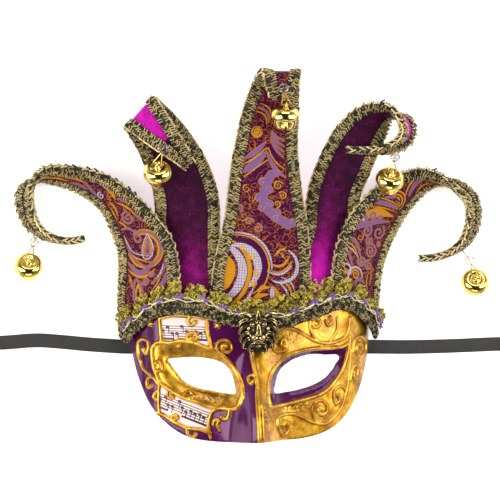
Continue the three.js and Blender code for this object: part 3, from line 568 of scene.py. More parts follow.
rings = [turned_ring(walked_ring(OUTER, 1.0), False),
         turned_ring(walked_ring(LEFT_OPENING, 0.8), True),
         turned_ring(walked_ring(RIGHT_OPENING, 0.8), True)]
fine = scattered(rings, 0.52, near_cord)
coarse = scattered(rings, 1.3, off_cord)
flat, front_faces = sheet_mesh(rings, np.vstack([fine, coarse]))
flat_back, back_faces = sheet_mesh(rings, scattered(rings, 3.0))
x, y = x_of(flat[:, 0]), flat[:, 1]
normal = face_normal(x, y)
rise, flank = relief(x, y)
front = np.column_stack([x, y, face_height(x, y)]) + normal * rise[:, None]
x_back, y_back = x_of(flat_back[:, 0]), flat_back[:, 1]
back = np.column_stack([x_back, y_back, face_height(x_back, y_back)]) - face_normal(x_back, y_back) * WALL
points = [front, back]
faces = [front_faces.tolist(), (back_faces[:, ::-1] + len(front)).tolist()]
start, made = 0, len(front) + len(back)
for ring in rings:
    # a half-round edge from the front's rim to the back's
    count = len(ring)
    rim_front, rim_back = front[start:start + count], back[start:start + count]
    along = np.roll(rim_front, -1, axis=0) - np.roll(rim_front, 1, axis=0)
    out = unit(np.cross(along, normal[start:start + count]))
    rows = [np.arange(start, start + count)]
    for share, bulge in ((0.2, 0.32), (0.5, 0.5), (0.8, 0.32)):
        points.append(rim_front * (1 - share) + rim_back * share + out * bulge)
        rows.append(made + np.arange(count))
        made += count
    rows.append(len(front) + np.arange(start, start + count))
    for a, b in zip(rows[:-1], rows[1:]):
        faces.append(np.stack([a, b, np.roll(b, -1), np.roll(a, -1)], axis=1).tolist())
    start += count
points = np.vstack(points)
points[:, 2] = np.maximum(points[:, 2], 0.25)
NOSE_LINE = np.array([(-44, -3), (-70, -3), (-77, -2), (-83, -1), (-89.5, 0), (-96, -0.5), (-103, 1),
                      (-118, 0), (-131, 0.5)])[::-1]
STAVES = (((-65.0, -49.6), -1.5), ((-65.5, -97.0), -21.0))     # each staff's first line: start and slope
LINE_GAP = 1.7
NOTE_STEP = 3.2
# where the gilding is darkened in grainy patches: middle, reach and strength
TONED = [(24, -57, 14, 7, 0.75), (50, -52, 8, 8, 0.6), (12, -72, 6, 12, 0.7), (28, -106, 20, 5, 0.85),
         (22, -119, 9, 5, 0.6), (-32, -100, 20, 4, 0.8), (5, -110, 4, 16, 0.6), (-40, -66, 18, 3, 0.5)]


def attribute(tree, name):
    """A number that the mesh keeps at each point."""
    return place(tree, "ShaderNodeAttribute", attribute_name=name).outputs["Fac"]


def on_piece(tree):
    """Where a point lies, in the piece's own coordinates."""
    return place(tree, "ShaderNodeTexCoord").outputs["Object"]


def set_marks(mesh, marks):
    """Numbers for each vertex, which the materials read by name."""
    for name, values in marks.items():
        layer = mesh.attributes.new(name, "FLOAT", "POINT")
        layer.data.foreach_set("value", np.asarray(values, np.float32).ravel())


def above(tree, value, level=0.0, soft=0.07):
    """A crisp mask where a distance passes a level."""
    return place(tree, "ShaderNodeMapRange", {0: value, 1: level - soft, 2: level + soft, 3: 0.0, 4: 1.0},
                 interpolation_type="SMOOTHSTEP").outputs[0]


def noise(tree, vector, scale, detail=2.0, rough=0.5):
    """A grey noise."""
    inputs = {"Vector": vector, "Scale": scale, "Detail": detail, "Roughness": rough}
    return place(tree, "ShaderNodeTexNoise", inputs).outputs[0]


def group(name, inputs, outputs):
    """A shader group with named sockets, and its two end nodes."""
    made = bpy.data.node_groups.new(name, "ShaderNodeTree")
    for end, sockets in (("INPUT", inputs), ("OUTPUT", outputs)):
        for key, kind in sockets.items():
            made.interface.new_socket(key, in_out=end, socket_type="NodeSocket" + kind)
    return made, made.nodes.new("NodeGroupInput"), made.nodes.new("NodeGroupOutput")


# Printed music: five thin lines, note heads, stems and beams, as marks only
staff, group_in, group_out = group("printed_staff", {"Place": "Vector"}, {"Ink": "Float"})
calc = partial(sums, staff)
spot = place(staff, "ShaderNodeSeparateXYZ", {0: group_in.outputs[0]})
u, v = spot.outputs[0], spot.outputs[1]
row = calc("DIVIDE", v, -LINE_GAP)
on_line = calc("LESS_THAN", calc("ABSOLUTE", calc("SUBTRACT", row, calc("ROUND", row))), 0.17)
lines = calc("MULTIPLY", on_line, calc("LESS_THAN", calc("ABSOLUTE", calc("SUBTRACT", row, 2.0)), 2.3))
step = calc("DIVIDE", u, NOTE_STEP)
number = calc("FLOOR", step)
chance = place(staff, "ShaderNodeTexWhiteNoise", {"W": number}, noise_dimensions="1D").outputs[0]
pitch = calc("MULTIPLY", calc("ROUND", calc("MULTIPLY", chance, 7.0)), -0.85)
du = calc("MULTIPLY", calc("SUBTRACT", calc("SUBTRACT", step, number), 0.5), NOTE_STEP)
dv = calc("SUBTRACT", v, pitch)
head = calc("LESS_THAN", calc("ADD", calc("POWER", calc("DIVIDE", du, 1.3), 2.0),
                              calc("POWER", calc("DIVIDE", dv, 1.05), 2.0)), 1.0)
stem = calc("MULTIPLY", calc("LESS_THAN", calc("ABSOLUTE", calc("SUBTRACT", du, 0.95)), 0.32),
            calc("LESS_THAN", calc("ABSOLUTE", calc("ADD", dv, 2.2)), 2.2))
pair = place(staff, "ShaderNodeTexWhiteNoise", {"W": calc("FLOOR", calc("DIVIDE", step, 3.0))},
             noise_dimensions="1D").outputs[0]
beam = calc("MULTIPLY", calc("GREATER_THAN", pair, 0.45),
            calc("LESS_THAN", calc("ABSOLUTE", calc("ADD", v, 8.9)), 0.75))
ink = calc("MAXIMUM", calc("MAXIMUM", lines, head), calc("MAXIMUM", stem, beam))
feed(staff, group_out, {"Ink": ink})

enamel, tree, shader = material("lacquer_and_gilding")
calc = partial(sums, tree)
here = on_piece(tree)
purple = above(tree, calc("MULTIPLY", attribute(tree, "half"), -1.0))
purple = calc("MULTIPLY", purple, calc("SUBTRACT", 1.0, above(tree, attribute(tree, "left_bowl"), -0.3)))
purple = calc("MAXIMUM", purple, above(tree, attribute(tree, "right_bowl"), -0.2))
cord = above(tree, calc("MULTIPLY", attribute(tree, "flank"), -1.0), -0.12)
purple = calc("MULTIPLY", purple, calc("SUBTRACT", 1.0, cord))
# foot: painted shade at the feet of the raised cords, full against a cord and gone 1.2 mm from it
foot = rescaled(tree, attribute(tree, "flank"), (1.0, 0.0), 0.0, 1.2)
paper = calc("MULTIPLY", above(tree, attribute(tree, "paper")), calc("SUBTRACT", 1.0, cord))
music = place(tree, "ShaderNodeUVMap", uv_map="music").outputs[0]
printed = place(tree, "ShaderNodeGroup", {"Place": music}, node_tree=staff).outputs[0]
mottle = noise(tree, here, 130.0, 6.0, 0.62)
broad = noise(tree, here, 34.0, 3.0)
fine = noise(tree, here, 620.0, 3.0, 0.6)
gold = ramp(tree, mottle, [(0.3, (0.27, 0.095, 0.003)), (0.47, (0.60, 0.27, 0.012)),
                           (0.62, (0.84, 0.46, 0.045))])
grainy = ramp(tree, fine, [(0.40, (0, 0, 0)), (0.60, (1, 1, 1))])
toned = calc("MULTIPLY", calc("MULTIPLY", attribute(tree, "toned"), 1.3), grainy)
clouded = calc("MULTIPLY", above(tree, broad, 0.57, 0.1), 0.55)
# the gilding's dark: painted shade at the cord feet, which also stands for glaze pooled there, with the
# darker patches and broad clouds
glaze_and_shade = calc("MAXIMUM", calc("MULTIPLY", foot, 0.97), calc("MAXIMUM", toned, clouded))
glaze_and_shade = calc("MULTIPLY", glaze_and_shade, calc("SUBTRACT", 1.0, cord))
gold = blend(tree, glaze_and_shade, gold, (0.075, 0.024, 0.002, 1))
lacquer = ramp(tree, broad, [(0.35, (0.062, 0.004, 0.046)), (0.65, (0.092, 0.007, 0.072))])
# painted shade at the cord feet on the lacquer
lacquer = blend(tree, calc("MULTIPLY", foot, 0.6), lacquer, (0.010, 0.001, 0.009, 1))
sheet = blend(tree, printed, blend(tree, mottle, (0.83, 0.71, 0.56, 1), (0.90, 0.81, 0.68, 1)),
              (0.010, 0.008, 0.010, 1))
# painted shade at the cord feet on the paper
sheet = blend(tree, calc("MULTIPLY", foot, 0.5), sheet, (0.25, 0.12, 0.04, 1))
colour = blend(tree, paper, blend(tree, purple, gold, lacquer), sheet)
back_side = attribute(tree, "inner")
colour = blend(tree, back_side, colour, blend(tree, mottle, (0.72, 0.68, 0.60, 1), (0.80, 0.77, 0.70, 1)))
bare = calc("MAXIMUM", calc("MAXIMUM", purple, paper), back_side)
metal = calc("SUBTRACT", 0.95, calc("MULTIPLY", glaze_and_shade, 0.5))
rough = calc("ADD", 0.22, calc("MULTIPLY", mottle, 0.22))
rough = calc("ADD", rough, calc("MULTIPLY", calc("MAXIMUM", back_side, calc("MULTIPLY", paper, 0.4)), 0.45))
coated = calc("SUBTRACT", 1.0, calc("MAXIMUM", back_side, paper))
grain = bump(tree, fine, 0.00012, 0.45)
feed(tree, shader, {
    "Base Color": colour,
    "Metallic": calc("MULTIPLY", calc("SUBTRACT", 1.0, bare), metal),
    "Roughness": calc("SUBTRACT", rough, calc("MULTIPLY", purple, 0.26)),
    "Coat Weight": calc("MULTIPLY", coated, calc("ADD", 0.25, calc("MULTIPLY", purple, -0.05))),
    "Coat Roughness": 0.05,
    "Specular Tint": blend(tree, purple, (1, 1, 1, 1), (0.85, 0.42, 0.72, 1)),
    "Normal": bump(tree, broad, 0.0008, 0.3, grain),
})

face = outward(piece("half_mask_face", points, [f for part in faces for f in part], enamel))
x, y = points[:, 0], points[:, 1]
order = np.arange(len(points))
AWAY = 5.0      # what the back and the rim hold, as if far from every cord
set_marks(face.data, {
    "flank": np.concatenate([flank, np.full(len(points) - len(front), AWAY)]),
    "half": x - np.interp(y, NOSE_LINE[:, 0], NOSE_LINE[:, 1]),
    "left_bowl": signed_depth(LEFT_RAIL, x, y),
    "right_bowl": signed_depth(RIGHT_RIM, x, y),
    "paper": np.max([signed_depth(panel, x, y) for panel in PANELS], axis=0),
    "toned": np.clip(sum(depth * np.exp(-((x - cx) / rx) ** 2 - ((y - cy) / ry) ** 2)
                         for cx, cy, rx, ry, depth in TONED), 0, 0.9),
    "inner": (order >= len(front)) & (order < len(front) + len(back)),
})
lower = y < -80       # the lower paper, and not the upper one
print_map = np.zeros((len(points), 2))
for k, ((u0, v0), slope) in enumerate(STAVES):
    c, s = math.cos(math.radians(slope)), math.sin(math.radians(slope))
    du, dv = x - u0, y - v0
    pick = lower == bool(k)
    print_map[pick] = np.column_stack([du * c + dv * s, dv * c - du * s])[pick]
set_map(face, "music", print_map)
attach(face, "root")
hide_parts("face")


# Horns. Five card and wadding panels faced with cloth: three in a brocade, two in a cut velvet. Each
# is narrow and curled over at its tip, and is glued behind the face's upper edge.

# a horn's stations: the middle's x, y and z, the width, and the bearing and tilt of the width
OUTER_LEFT = [
    [-70.6, -62, 19.6, 55, 19, 37], [-72.3, -30.7, 18.5, 53, 12, 35], [-72.3, -12.5, 17, 50, 8, 33],
    [-74.7, 5.1, 15.5, 46, 14, 32], [-86.2, 25.5, 14, 37, 25, 35], [-97, 39.3, 12.5, 31, 34, 38],
    [-112.1, 49.4, 11.8, 28, 43, 42], [-130.3, 55, 11.8, 24, 57, 50], [-144.3, 56.4, 11.6, 22, 76, 62],
    [-153.4, 52.2, 10.7, 20, 122, 92], [-159.4, 43.7, 10.2, 19.5, 158, 126], [-159, 32.5, 10, 19, 184, 129],
    [-154.8, 21.3, 9.6, 18, 210, 122], [-146.4, 13.5, 9.2, 17, 243, 104], [-136.6, 10, 8.4, 16, 263, 92],
    [-126.8, 9, 7.8, 15, 274, 90], [-117.6, 11.1, 6.8, 13, 281, 90],
]
OUTER_RIGHT = [
    [70.4, -62, 19.6, 52, 160, 39], [73, -31, 18.5, 50, 163, 37], [75.4, -11.2, 16.5, 47.5, 168, 34],
    [80.2, 8, 15.5, 47, 160, 32], [91.2, 27.2, 14, 43, 146, 31], [105, 41.8, 13, 36, 139, 35],
    [119.6, 51.5, 12.2, 29, 133, 42], [130.6, 53.7, 11.8, 23, 118, 56], [139.8, 52.4, 10.9, 20.5, 82, 88],
    [148.6, 49.5, 10.4, 20, 62, 116], [158.8, 40.3, 10.2, 19.5, 30, 128], [161.4, 28.8, 10, 19, 0, 130],
    [158.9, 16.6, 9.8, 18.5, -22, 126], [152.4, 6.6, 9.4, 17.5, -50, 110], [142.3, 0.1, 8.6, 16, -66, 96],
    [131.6, -2.7, 7.8, 15, -82, 90], [121.2, -3.1, 6.8, 13, -92, 90],
]
INNER_LEFT = [
    [-38.6, -50, 29, 38, 0, 25], [-41.3, -26.4, 26.5, 42, 0, 25], [-43.9, -5.4, 22.5, 45, 1, 20],
    [-45.2, 17, 20, 47, 3, 15], [-46, 38, 21, 46, 8, 8], [-52.1, 58.6, 25.5, 43, 16, 2],
    [-63.9, 79.6, 31.5, 38, 26, 0], [-74.2, 92.5, 36, 34, 40, 0], [-79.4, 98, 42, 32, 49, 0],
    [-76.2, 93.9, 47.5, 29, 49, 0], [-70.1, 87.3, 49, 26, 47, 0], [-62, 78.8, 47.5, 21, 44, 0],
    [-52.9, 70, 44.5, 15.5, 40, 0], [-45.1, 61.2, 42, 10, 38, 0],
]
CENTRE = [
    [5.2, -58, 40.4, 64, 0, 0], [4.5, -26.2, 39.8, 70, 0, 0], [6.1, -5.4, 38.3, 68, 0, 0],
    [8, 16.9, 36.8, 61, 0, 0], [7.7, 37.9, 36, 54.5, 0, 0], [7.7, 60.2, 36, 49, 0, 0],
    [9, 79.7, 37.3, 44, 0, 0], [11.5, 99, 40, 40.5, 0, 0], [13.9, 113.4, 43.6, 35, 0, 0],
    [16.1, 122.7, 49, 31.5, 0, 0], [17.1, 126, 55.5, 29, 0, 0], [17.2, 122.4, 60.5, 26.5, 0, 0],
    [16.7, 116.4, 60.8, 24, 0, 0], [16.1, 111.4, 58.5, 19, 0, 0], [16, 107.5, 55, 13, 0, 0],
]
INNER_RIGHT = [
    [47.4, -50, 30, 38, 180, 25], [48.2, -25.1, 26.5, 42, 180, 25], [51.4, -4, 21.5, 44, 178, 20],
    [55.8, 16.4, 19, 41, 172, 15], [57.9, 41.8, 21, 39, 163, 8], [65.4, 62.9, 25.5, 38.5, 156, 2],
    [73.4, 79.7, 30, 36.5, 149, 4], [82.5, 92.6, 33, 31.5, 148, 14], [91.7, 99.1, 35.5, 26.5, 126, 48],
    [99.9, 98.3, 37.5, 24, 66, 90], [106.3, 93.4, 39.5, 22.5, 25, 122], [107.8, 84.9, 41, 22, -10, 128],
    [102, 77.1, 42, 20, -48, 118], [92, 73.5, 42.5, 17.5, -74, 104], [81.5, 72.5, 42, 15, -88, 94],
    [71.8, 72.5, 41, 13.5, -93, 90], [64.1, 73.2, 40.5, 11, -95, 90],
]
HORN_ROWS = 600       # stations that a horn's few given ones are smoothed to
PANEL_THICK = 3.2
PUCKER = 0.22         # how high the cloth puckers beside the stitching
BRAID_WIDTH = 9.2
ROOT = np.array([[max(-200, x * 0.985), y + 0.8] for x, y, _ in GIMP_LINE])


def horn_frames(rows, side, step):
    """Stations along a horn: middle, across, out, width, share of the way, length so far and along."""
    rows = smooth_rows(rows, HORN_ROWS)
    gone = np.concatenate([[0], np.cumsum(np.linalg.norm(np.diff(rows[:, :3], axis=0), axis=1))])
    at = np.linspace(0, gone[-1], int(gone[-1] / step) + 1)
    share = np.interp(at, gone, np.linspace(0, 1, HORN_ROWS))
    rows = np.stack([np.interp(at, gone, column) for column in rows.T], axis=1)
    middle, width = rows[:, :3], rows[:, 3]
    bearing, tilt = np.radians(rows[:, 4]), np.radians(rows[:, 5])
    along = unit(np.gradient(middle, axis=0))
    across = np.column_stack([np.cos(tilt) * np.cos(bearing), np.cos(tilt) * np.sin(bearing), np.sin(tilt)])
    across = unit(across - along * np.einsum("ij,ij->i", across, along)[:, None])
    return middle, across, np.cross(across, along) * side, width, share, at, along


def horn_points(frames, crown, s, height):
    """Points at shares s across, for every station, at a height off the middle surface."""
    middle, across, out, width, share = frames[:5]
    bulge = np.maximum(0, crown * (1 - share)[:, None] * (1 - (2 * s) ** 2)) + height
    sideways = across[:, None] * (s * width[:, None])[..., None]
    return middle[:, None] + sideways + out[:, None] * bulge[..., None]


def rooted(points):
    """Ends a horn's root in a cut along the brow."""
    limit = np.interp(points[..., 0], ROOT[:, 0], ROOT[:, 1])
    points[..., 1] = np.maximum(points[..., 1], limit)
    return points


LAYERS = ("orange", "lilac", "white", "plum", "gold")
OUTSIDE = -3.0      # the depth of a point that lies outside every figure
THREAD = 0.3        # how fine a leaf or a crescent ends


def leaf(colour, root, tip, bow, breadth):
    """A leaf from root to tip, bowed to one side and broadest halfway."""
    share = np.linspace(0, 1, 16)
    along = np.subtract(tip, root)
    across = np.array([-along[1], along[0]]) / np.hypot(*along)
    line = root + share[:, None] * along + bow * np.sin(np.pi * share)[:, None] * across
    return colour, line, THREAD + (breadth - THREAD) * np.sin(np.pi * share)


def crescent(colour, middle, radius, start, end, breadth):
    """Part of a ring between two angles in degrees, drawn out thin at both ends."""
    share = np.linspace(0, 1, 24)
    turn = np.radians(start + (end - start) * share)
    line = middle + radius * np.column_stack([np.cos(turn), np.sin(turn)])
    return colour, line, THREAD + (breadth - THREAD) * np.sin(np.pi * share) ** 0.6


def scroll(colour, middle, radius, start, turns, breadth):
    """A scroll that winds in from its radius, finer towards its eye."""
    share = np.linspace(0, 1, 40)
    turn = np.radians(start) + 2 * np.pi * turns * share
    line = middle + (radius * (1 - 0.85 * share))[:, None] * np.column_stack([np.cos(turn), np.sin(turn)])
    return colour, line, breadth * (1 - 0.4 * share)


def disc(colour, middle, radius):
    """A round spot of one thread colour."""
    return colour, np.array([middle, middle]) + [[0, 0], [0.1, 0]], np.full(2, radius)


def eye(middle, *radii):
    """A round eye of three colours, one in the other."""
    return [disc(colour, middle, radius) for colour, radius in zip(("lilac", "plum", "gold"), radii)]


def drop(colour, middle, reach, girth, lean, hook, breadth):
    """The outline of a paisley drop: round at its foot, its point leaning by degrees and hooked."""
    turn = np.linspace(0, 2 * np.pi, 36)
    across = girth * np.sin(turn) * np.abs(np.sin(turn / 2)) + hook * ((1 + np.cos(turn)) / 2) ** 2
    along = reach * np.cos(turn)
    tilt = np.radians(lean)
    line = middle + np.column_stack([across * np.cos(tilt) + along * np.sin(tilt),
                                     along * np.cos(tilt) - across * np.sin(tilt)])
    return colour, line, np.full(len(turn), breadth)


def cloud(root, tip, bow, lobes, breadth):
    """A lilac cloud: round lobes either side of a bowed stem, with gold curls at every other lobe."""
    _, stem, _ = leaf("lilac", root, tip, bow, breadth)
    shapes = [("lilac", stem, np.full(len(stem), 0.8 * breadth))]
    for k in range(lobes):
        place_on = stem[round(k * (len(stem) - 1) / (lobes - 1))]
        spot = place_on + [0.9 * breadth * (-1) ** k, 0.3 * breadth]
        shapes.append(disc("lilac", tuple(spot), 0.75 * breadth))
        shapes.append(scroll("gold", spot, 0.68 * breadth, 40 * k, 1.2, 0.22))
    return shapes


def moon(middle, start, end, bands):
    """Crescents about one middle, from (colour, radius, breadth) bands."""
    return [crescent(colour, middle, radius, start, end, breadth) for colour, radius, breadth in bands]


# The brocade's figures, in millimetres across and along each horn. They were gone over on
# enlargements of the photograph ruled with a line at every 10 mm of the horn. Some keep the place, angle
# or breadth that a program had fitted to them.
FIGURES = {
    "outer_left": [
        # the large paisley, its long tail and the crescents under it
        drop("white", (4, 67), 9, 5.5, 22, 1, 0.45), drop("orange", (4, 67), 7, 3.8, 22, 1, 0.6),
        drop("lilac", (4, 66), 4.5, 2, 22, 0, 0.5), leaf("white", (-9, 82), (6, 60), -8, 0.5),
        leaf("orange", (-10, 80), (4, 56), -8, 0.8), leaf("lilac", (-11, 76), (0, 53), -5, 0.7),
        leaf("orange", (-13, 68), (3, 52), -5, 0.9), leaf("lilac", (-15, 59), (7, 57), -9, 1.8),
        leaf("orange", (-15, 53), (8, 51), -6, 1.0), leaf("plum", (-5, 74), (-2, 65), -1, 1.8),
        *moon((1, 66), 98, -78, [("lilac", 12.5, 0.5), ("orange", 11, 0.8), ("orange", 14, 0.6)]),
        # below it: a flame, two curls and the broad lines that run up the right edge
        drop("lilac", (-6, 36), 9, 5.5, -6, -1, 0.5), drop("orange", (-6, 35), 5.5, 3, 0, 0, 0.8),
        leaf("lilac", (-14, 44), (-9, 28), 2, 0.6), scroll("lilac", (0, 43), 3.2, 200, 1.4, 0.5),
        scroll("lilac", (4, 48), 2.4, 20, -1.3, 0.45), leaf("lilac", (16, 58), (5, 41), 2, 1.0),
        leaf("lilac", (17, 50), (9, 38), 2, 1.3), leaf("white", (14, 54), (8, 44), 1, 0.6),
        leaf("orange", (12, 48), (6, 37), 1, 0.5), leaf("orange", (-15, 49), (-12, 38), 1, 0.7),
        # above it: eyes, rings and short leaves on an orange ground
        drop("lilac", (0, 77), 4.5, 3, 10, 0, 0.4), scroll("lilac", (2, 91), 5, 70, 1.5, 0.55),
        drop("lilac", (11, 87), 5, 3.4, -45, 1, 0.5), leaf("orange", (14, 84), (7, 92), 1, 0.7),
        leaf("lilac", (-8, 87), (0, 80), 2, 0.6), leaf("orange", (-7, 93), (-3, 84), 1, 0.7),
        leaf("lilac", (5, 106), (11, 93), 1, 1.3), leaf("orange", (2, 104), (8, 91), 1, 0.8),
        leaf("orange", (8, 110), (13, 96), 1, 0.8), leaf("orange", (-2, 109), (-4, 97), 1, 0.8),
        leaf("orange", (-5, 105), (-7, 95), 0, 0.6), leaf("orange", (6, 125), (3, 107), 2, 2.0),
        scroll("white", (-2, 117), 3, 40, 1.3, 0.6), leaf("lilac", (2, 131), (-5, 118), -1, 1.1),
        leaf("white", (5, 128), (5, 117), 1, 0.5), leaf("lilac", (-3, 143), (-3, 129), 1, 1.4),
        leaf("orange", (2, 146), (2, 131), 1, 0.9), leaf("lilac", (3, 151), (4, 138), 0, 0.7),
        leaf("orange", (-1, 160), (-1, 144), 1, 0.9), leaf("orange", (1, 169), (0, 155), 0, 1.1),
    ],
    "centre": [
        # the moon at the left edge, and the bands round it
        disc("orange", (-32, 44), 13), *moon((-32, 44), -75, 75, [("white", 18, 3.1), ("orange", 23, 1.5)]),
        *moon((-19, 47), 108, -52, [("white", 15.5, 2.8), ("plum", 20, 2.2), ("orange", 23.2, 0.6)]),
        crescent("white", (-19, 47), 25, 108, 0, 0.8), scroll("gold", (-4, 44), 2.6, 90, 1.3, 0.6),
        scroll("gold", (-5, 37), 2.2, 250, -1.2, 0.6), scroll("gold", (-8, 56), 2.8, 150, 1.3, 0.6),
        scroll("gold", (-16, 61), 2, 40, -1.2, 0.6),
        # the leaves that spring from beside it
        crescent("white", (12, 51), 12, -118, 70, 1.3), leaf("orange", (0, 48), (20, 55), -6, 1.2),
        leaf("white", (3, 46), (20, 52), -4, 0.8), leaf("orange", (3, 52), (18, 59), -5, 0.9),
        leaf("gold", (8, 61), (17, 53), 1, 0.35), leaf("gold", (7, 57), (15, 64), 1, 0.35),
        scroll("gold", (12, 59), 4, 30, 1.3, 0.3), leaf("orange", (-10, 29), (6, 35), 2, 1.8),
        leaf("orange", (-9, 23), (5, 30), 2, 1.6), leaf("orange", (8, 36), (13, 20), 1, 2.0),
        leaf("white", (7, 36), (8, 24), 0, 1.7), leaf("white", (12, 39), (18, 22), 3, 0.8),
        leaf("orange", (12, 41), (21, 28), 3, 0.8), leaf("white", (13, 43), (23, 32), 3, 0.6),
        leaf("white", (-6, 34), (-15, 22), 1, 0.8),
        # the cloud, the curls under it and the seeded ground beside it
        *cloud((4, 114), (15, 79), -11, 9, 3.6), scroll("lilac", (-6, 76), 3.4, 90, -1.3, 0.45),
        scroll("lilac", (-12, 81), 3, 0, 1.3, 0.4), scroll("gold", (-16, 85), 3.5, 200, 1.3, 0.35),
        scroll("lilac", (-19, 91), 3, 300, 1.2, 0.45), scroll("gold", (9, 106), 3.4, 20, 1.6, 0.4),
        scroll("gold", (12, 99), 3, 140, -1.6, 0.4), scroll("gold", (8, 93), 2.6, 260, 1.4, 0.4),
        scroll("gold", (-13, 104), 3, 80, 1.3, 0.35), scroll("gold", (-10, 97), 2.4, 10, -1.3, 0.3),
        # the chevrons above it, and the rays on their right
        leaf("lilac", (-1, 137), (-15, 124), 1, 1.7), leaf("gold", (0, 133), (-16, 120), 1, 0.4),
        leaf("lilac", (0, 130), (-16, 115), 1, 2.7), leaf("plum", (1, 121), (-12, 111), 0, 1.4),
        leaf("gold", (1, 124), (-15, 112), 0, 0.35), leaf("plum", (1, 136), (13, 122), -1, 1.6),
        leaf("gold", (1, 133), (14, 118), -2, 0.4), leaf("lilac", (1, 129), (14, 112), -2, 1.3),
        *[leaf("lilac", (2, 139 + 2 * ray), (12, 127 + 4 * ray), -1, 0.6) for ray in range(4)],
        # the ball and the feather under the fold
        disc("orange", (-8, 143), 4), scroll("plum", (-8, 143), 3.6, 0, 1.8, 0.35),
        *[leaf(colour, (-11 + 1.5 * ray, 157 + 3 * ray), (-2 + ray, 149 + 2 * ray), 3, 0.6)
          for ray, colour in enumerate(("orange", "lilac", "orange"))],
    ],
    "outer_right": [
        # the orange fan with its three eyes, and the bands below and above it
        leaf("orange", (17, 80), (-8, 100), -3.5, 3.2), leaf("lilac", (20, 71), (-8, 95), -1, 1.3),
        leaf("plum", (18, 71), (0, 86), -1, 0.9), *eye((12, 84), 3.6, 2.2, 1.2), *eye((7, 90), 2.6, 1.6, 0.9),
        *eye((1, 92), 2, 1.2, 0.6), leaf("lilac", (15, 96), (-6, 107), -1, 1.4),
        leaf("orange", (15, 92), (-7, 104), -1, 0.5), leaf("orange", (15, 100), (-5, 109), -1, 0.5),
        leaf("plum", (14, 103), (-4, 112), -1, 1.0), leaf("lilac", (9, 105), (3, 111), 0, 0.7),
        # the arcs and leaves beyond it
        *moon((0, 109), -10, 190, [("orange", 3, 0.6), ("orange", 5.5, 0.6), ("orange", 8, 0.6)]),
        leaf("lilac", (-4, 120), (5, 137), -2, 1.5), leaf("orange", (-1, 118), (8, 134), -2, 0.8),
        leaf("orange", (9, 120), (9, 131), 1, 1.4), leaf("orange", (-6, 126), (0, 139), -1, 0.7),
        leaf("orange", (2, 140), (1, 153), 0, 0.9), leaf("lilac", (4, 138), (3, 147), 0, 0.6),
        # the curls on the dark ground
        scroll("lilac", (5, 79), 4.5, 60, 1.4, 0.6), scroll("lilac", (-5, 83), 5.5, 100, 1.4, 0.6),
        scroll("lilac", (-1, 74), 3.5, 30, -1.4, 0.5), scroll("lilac", (-5, 67), 6, 50, 1.8, 0.6),
        scroll("lilac", (1, 58), 4, 0, -1.5, 0.55), scroll("lilac", (-6, 56), 4, 90, -1.5, 0.5),
        scroll("lilac", (-10, 76), 2.5, 200, 1.2, 0.4), scroll("orange", (8, 73), 2.6, 120, 1.3, 0.4),
        # the long leaves from the left edge
        leaf("lilac", (22, 68), (3, 61), -5, 0.9), leaf("orange", (21, 66), (5, 60), -3.5, 0.6),
        leaf("white", (21, 65), (4, 59), -2, 0.5), leaf("lilac", (22, 64), (9, 53), -3, 0.8),
        leaf("orange", (22, 61), (10, 52), -1, 0.5),
        # the flower above the lace
        crescent("white", (5, 46), 6.5, -60, 190, 0.8), crescent("white", (14, 49), 4.5, 10, 240, 0.8),
        disc("orange", (14, 48), 2.2), scroll("orange", (5, 47), 3.8, 0, 1.6, 0.7),
        crescent("lilac", (0, 40), 4.5, -70, 150, 0.9), disc("orange", (0, 39), 2.2),
        leaf("orange", (-9, 54), (-10, 42), -1, 0.5), leaf("orange", (-7, 50), (-8, 38), 1, 0.4),
    ],
}


def drawn(figures, u, v):
    """For each thread colour, how deep every point lies inside its figures; negative is outside."""
    depths = {layer: np.full(u.shape, OUTSIDE) for layer in LAYERS}
    for layer, line, breadth in figures:
        low = line.min(axis=0) - breadth.max() + OUTSIDE
        high = line.max(axis=0) + breadth.max() - OUTSIDE
        near = np.nonzero((u > low[0]) & (u < high[0]) & (v > low[1]) & (v < high[1]))[0]
        for k in range(len(line) - 1):
            span = line[k + 1] - line[k]
            across, along = u[near] - line[k, 0], v[near] - line[k, 1]
            part = np.clip((across * span[0] + along * span[1]) / (span @ span), 0, 1)
            away = np.hypot(across - part * span[0], along - part * span[1])
            depth = breadth[k] + part * (breadth[k + 1] - breadth[k]) - away
            depths[layer][near] = np.maximum(depths[layer][near], depth)
    return depths


# Cloth: the fine scrollwork and twill that the brocades share
ground, group_in, group_out = group("scrollwork", {"Place": "Vector"}, {"Line": "Float", "Twill": "Float"})
calc = partial(sums, ground)
bent = place(ground, "ShaderNodeTexNoise", {"Vector": group_in.outputs[0], "Scale": 0.22,
                                            "Detail": 2.0}).outputs[1]
bent = place(ground, "ShaderNodeVectorMath", {0: bent, "Scale": 5.0}, operation="SCALE").outputs[0]
bent = place(ground, "ShaderNodeVectorMath", {0: group_in.outputs[0], 1: bent}, operation="ADD").outputs[0]
cells = place(ground, "ShaderNodeTexVoronoi", {"Vector": bent, "Scale": 0.21}).outputs[0]
rings = calc("SINE", calc("MULTIPLY", cells, 17.0))
spot = place(ground, "ShaderNodeSeparateXYZ", {0: group_in.outputs[0]})
slanted = calc("ADD", spot.outputs[0], calc("MULTIPLY", spot.outputs[1], 1.4))
twill = calc("MULTIPLY_ADD", calc("SINE", calc("MULTIPLY", slanted, 7.5)), 0.5, 0.5)
feed(ground, group_out, {"Line": above(ground, rings, 0.58, 0.2), "Twill": twill})

brocade, tree, shader = material("silk_brocade")
calc = partial(sums, tree)
cloth = place(tree, "ShaderNodeUVMap", uv_map="cloth").outputs[0]
work = place(tree, "ShaderNodeGroup", {"Place": cloth}, node_tree=ground)
patchy = noise(tree, cloth, 0.07, 3.0)
fleck = noise(tree, cloth, 2.6, 2.0)
spot = place(tree, "ShaderNodeSeparateXYZ", {0: cloth})
slanted = calc("SUBTRACT", spot.outputs[1], calc("MULTIPLY", spot.outputs[0], 0.8))
stripe = calc("MULTIPLY_ADD", calc("SINE", calc("MULTIPLY", slanted, 3.4)), 0.5, 0.5)
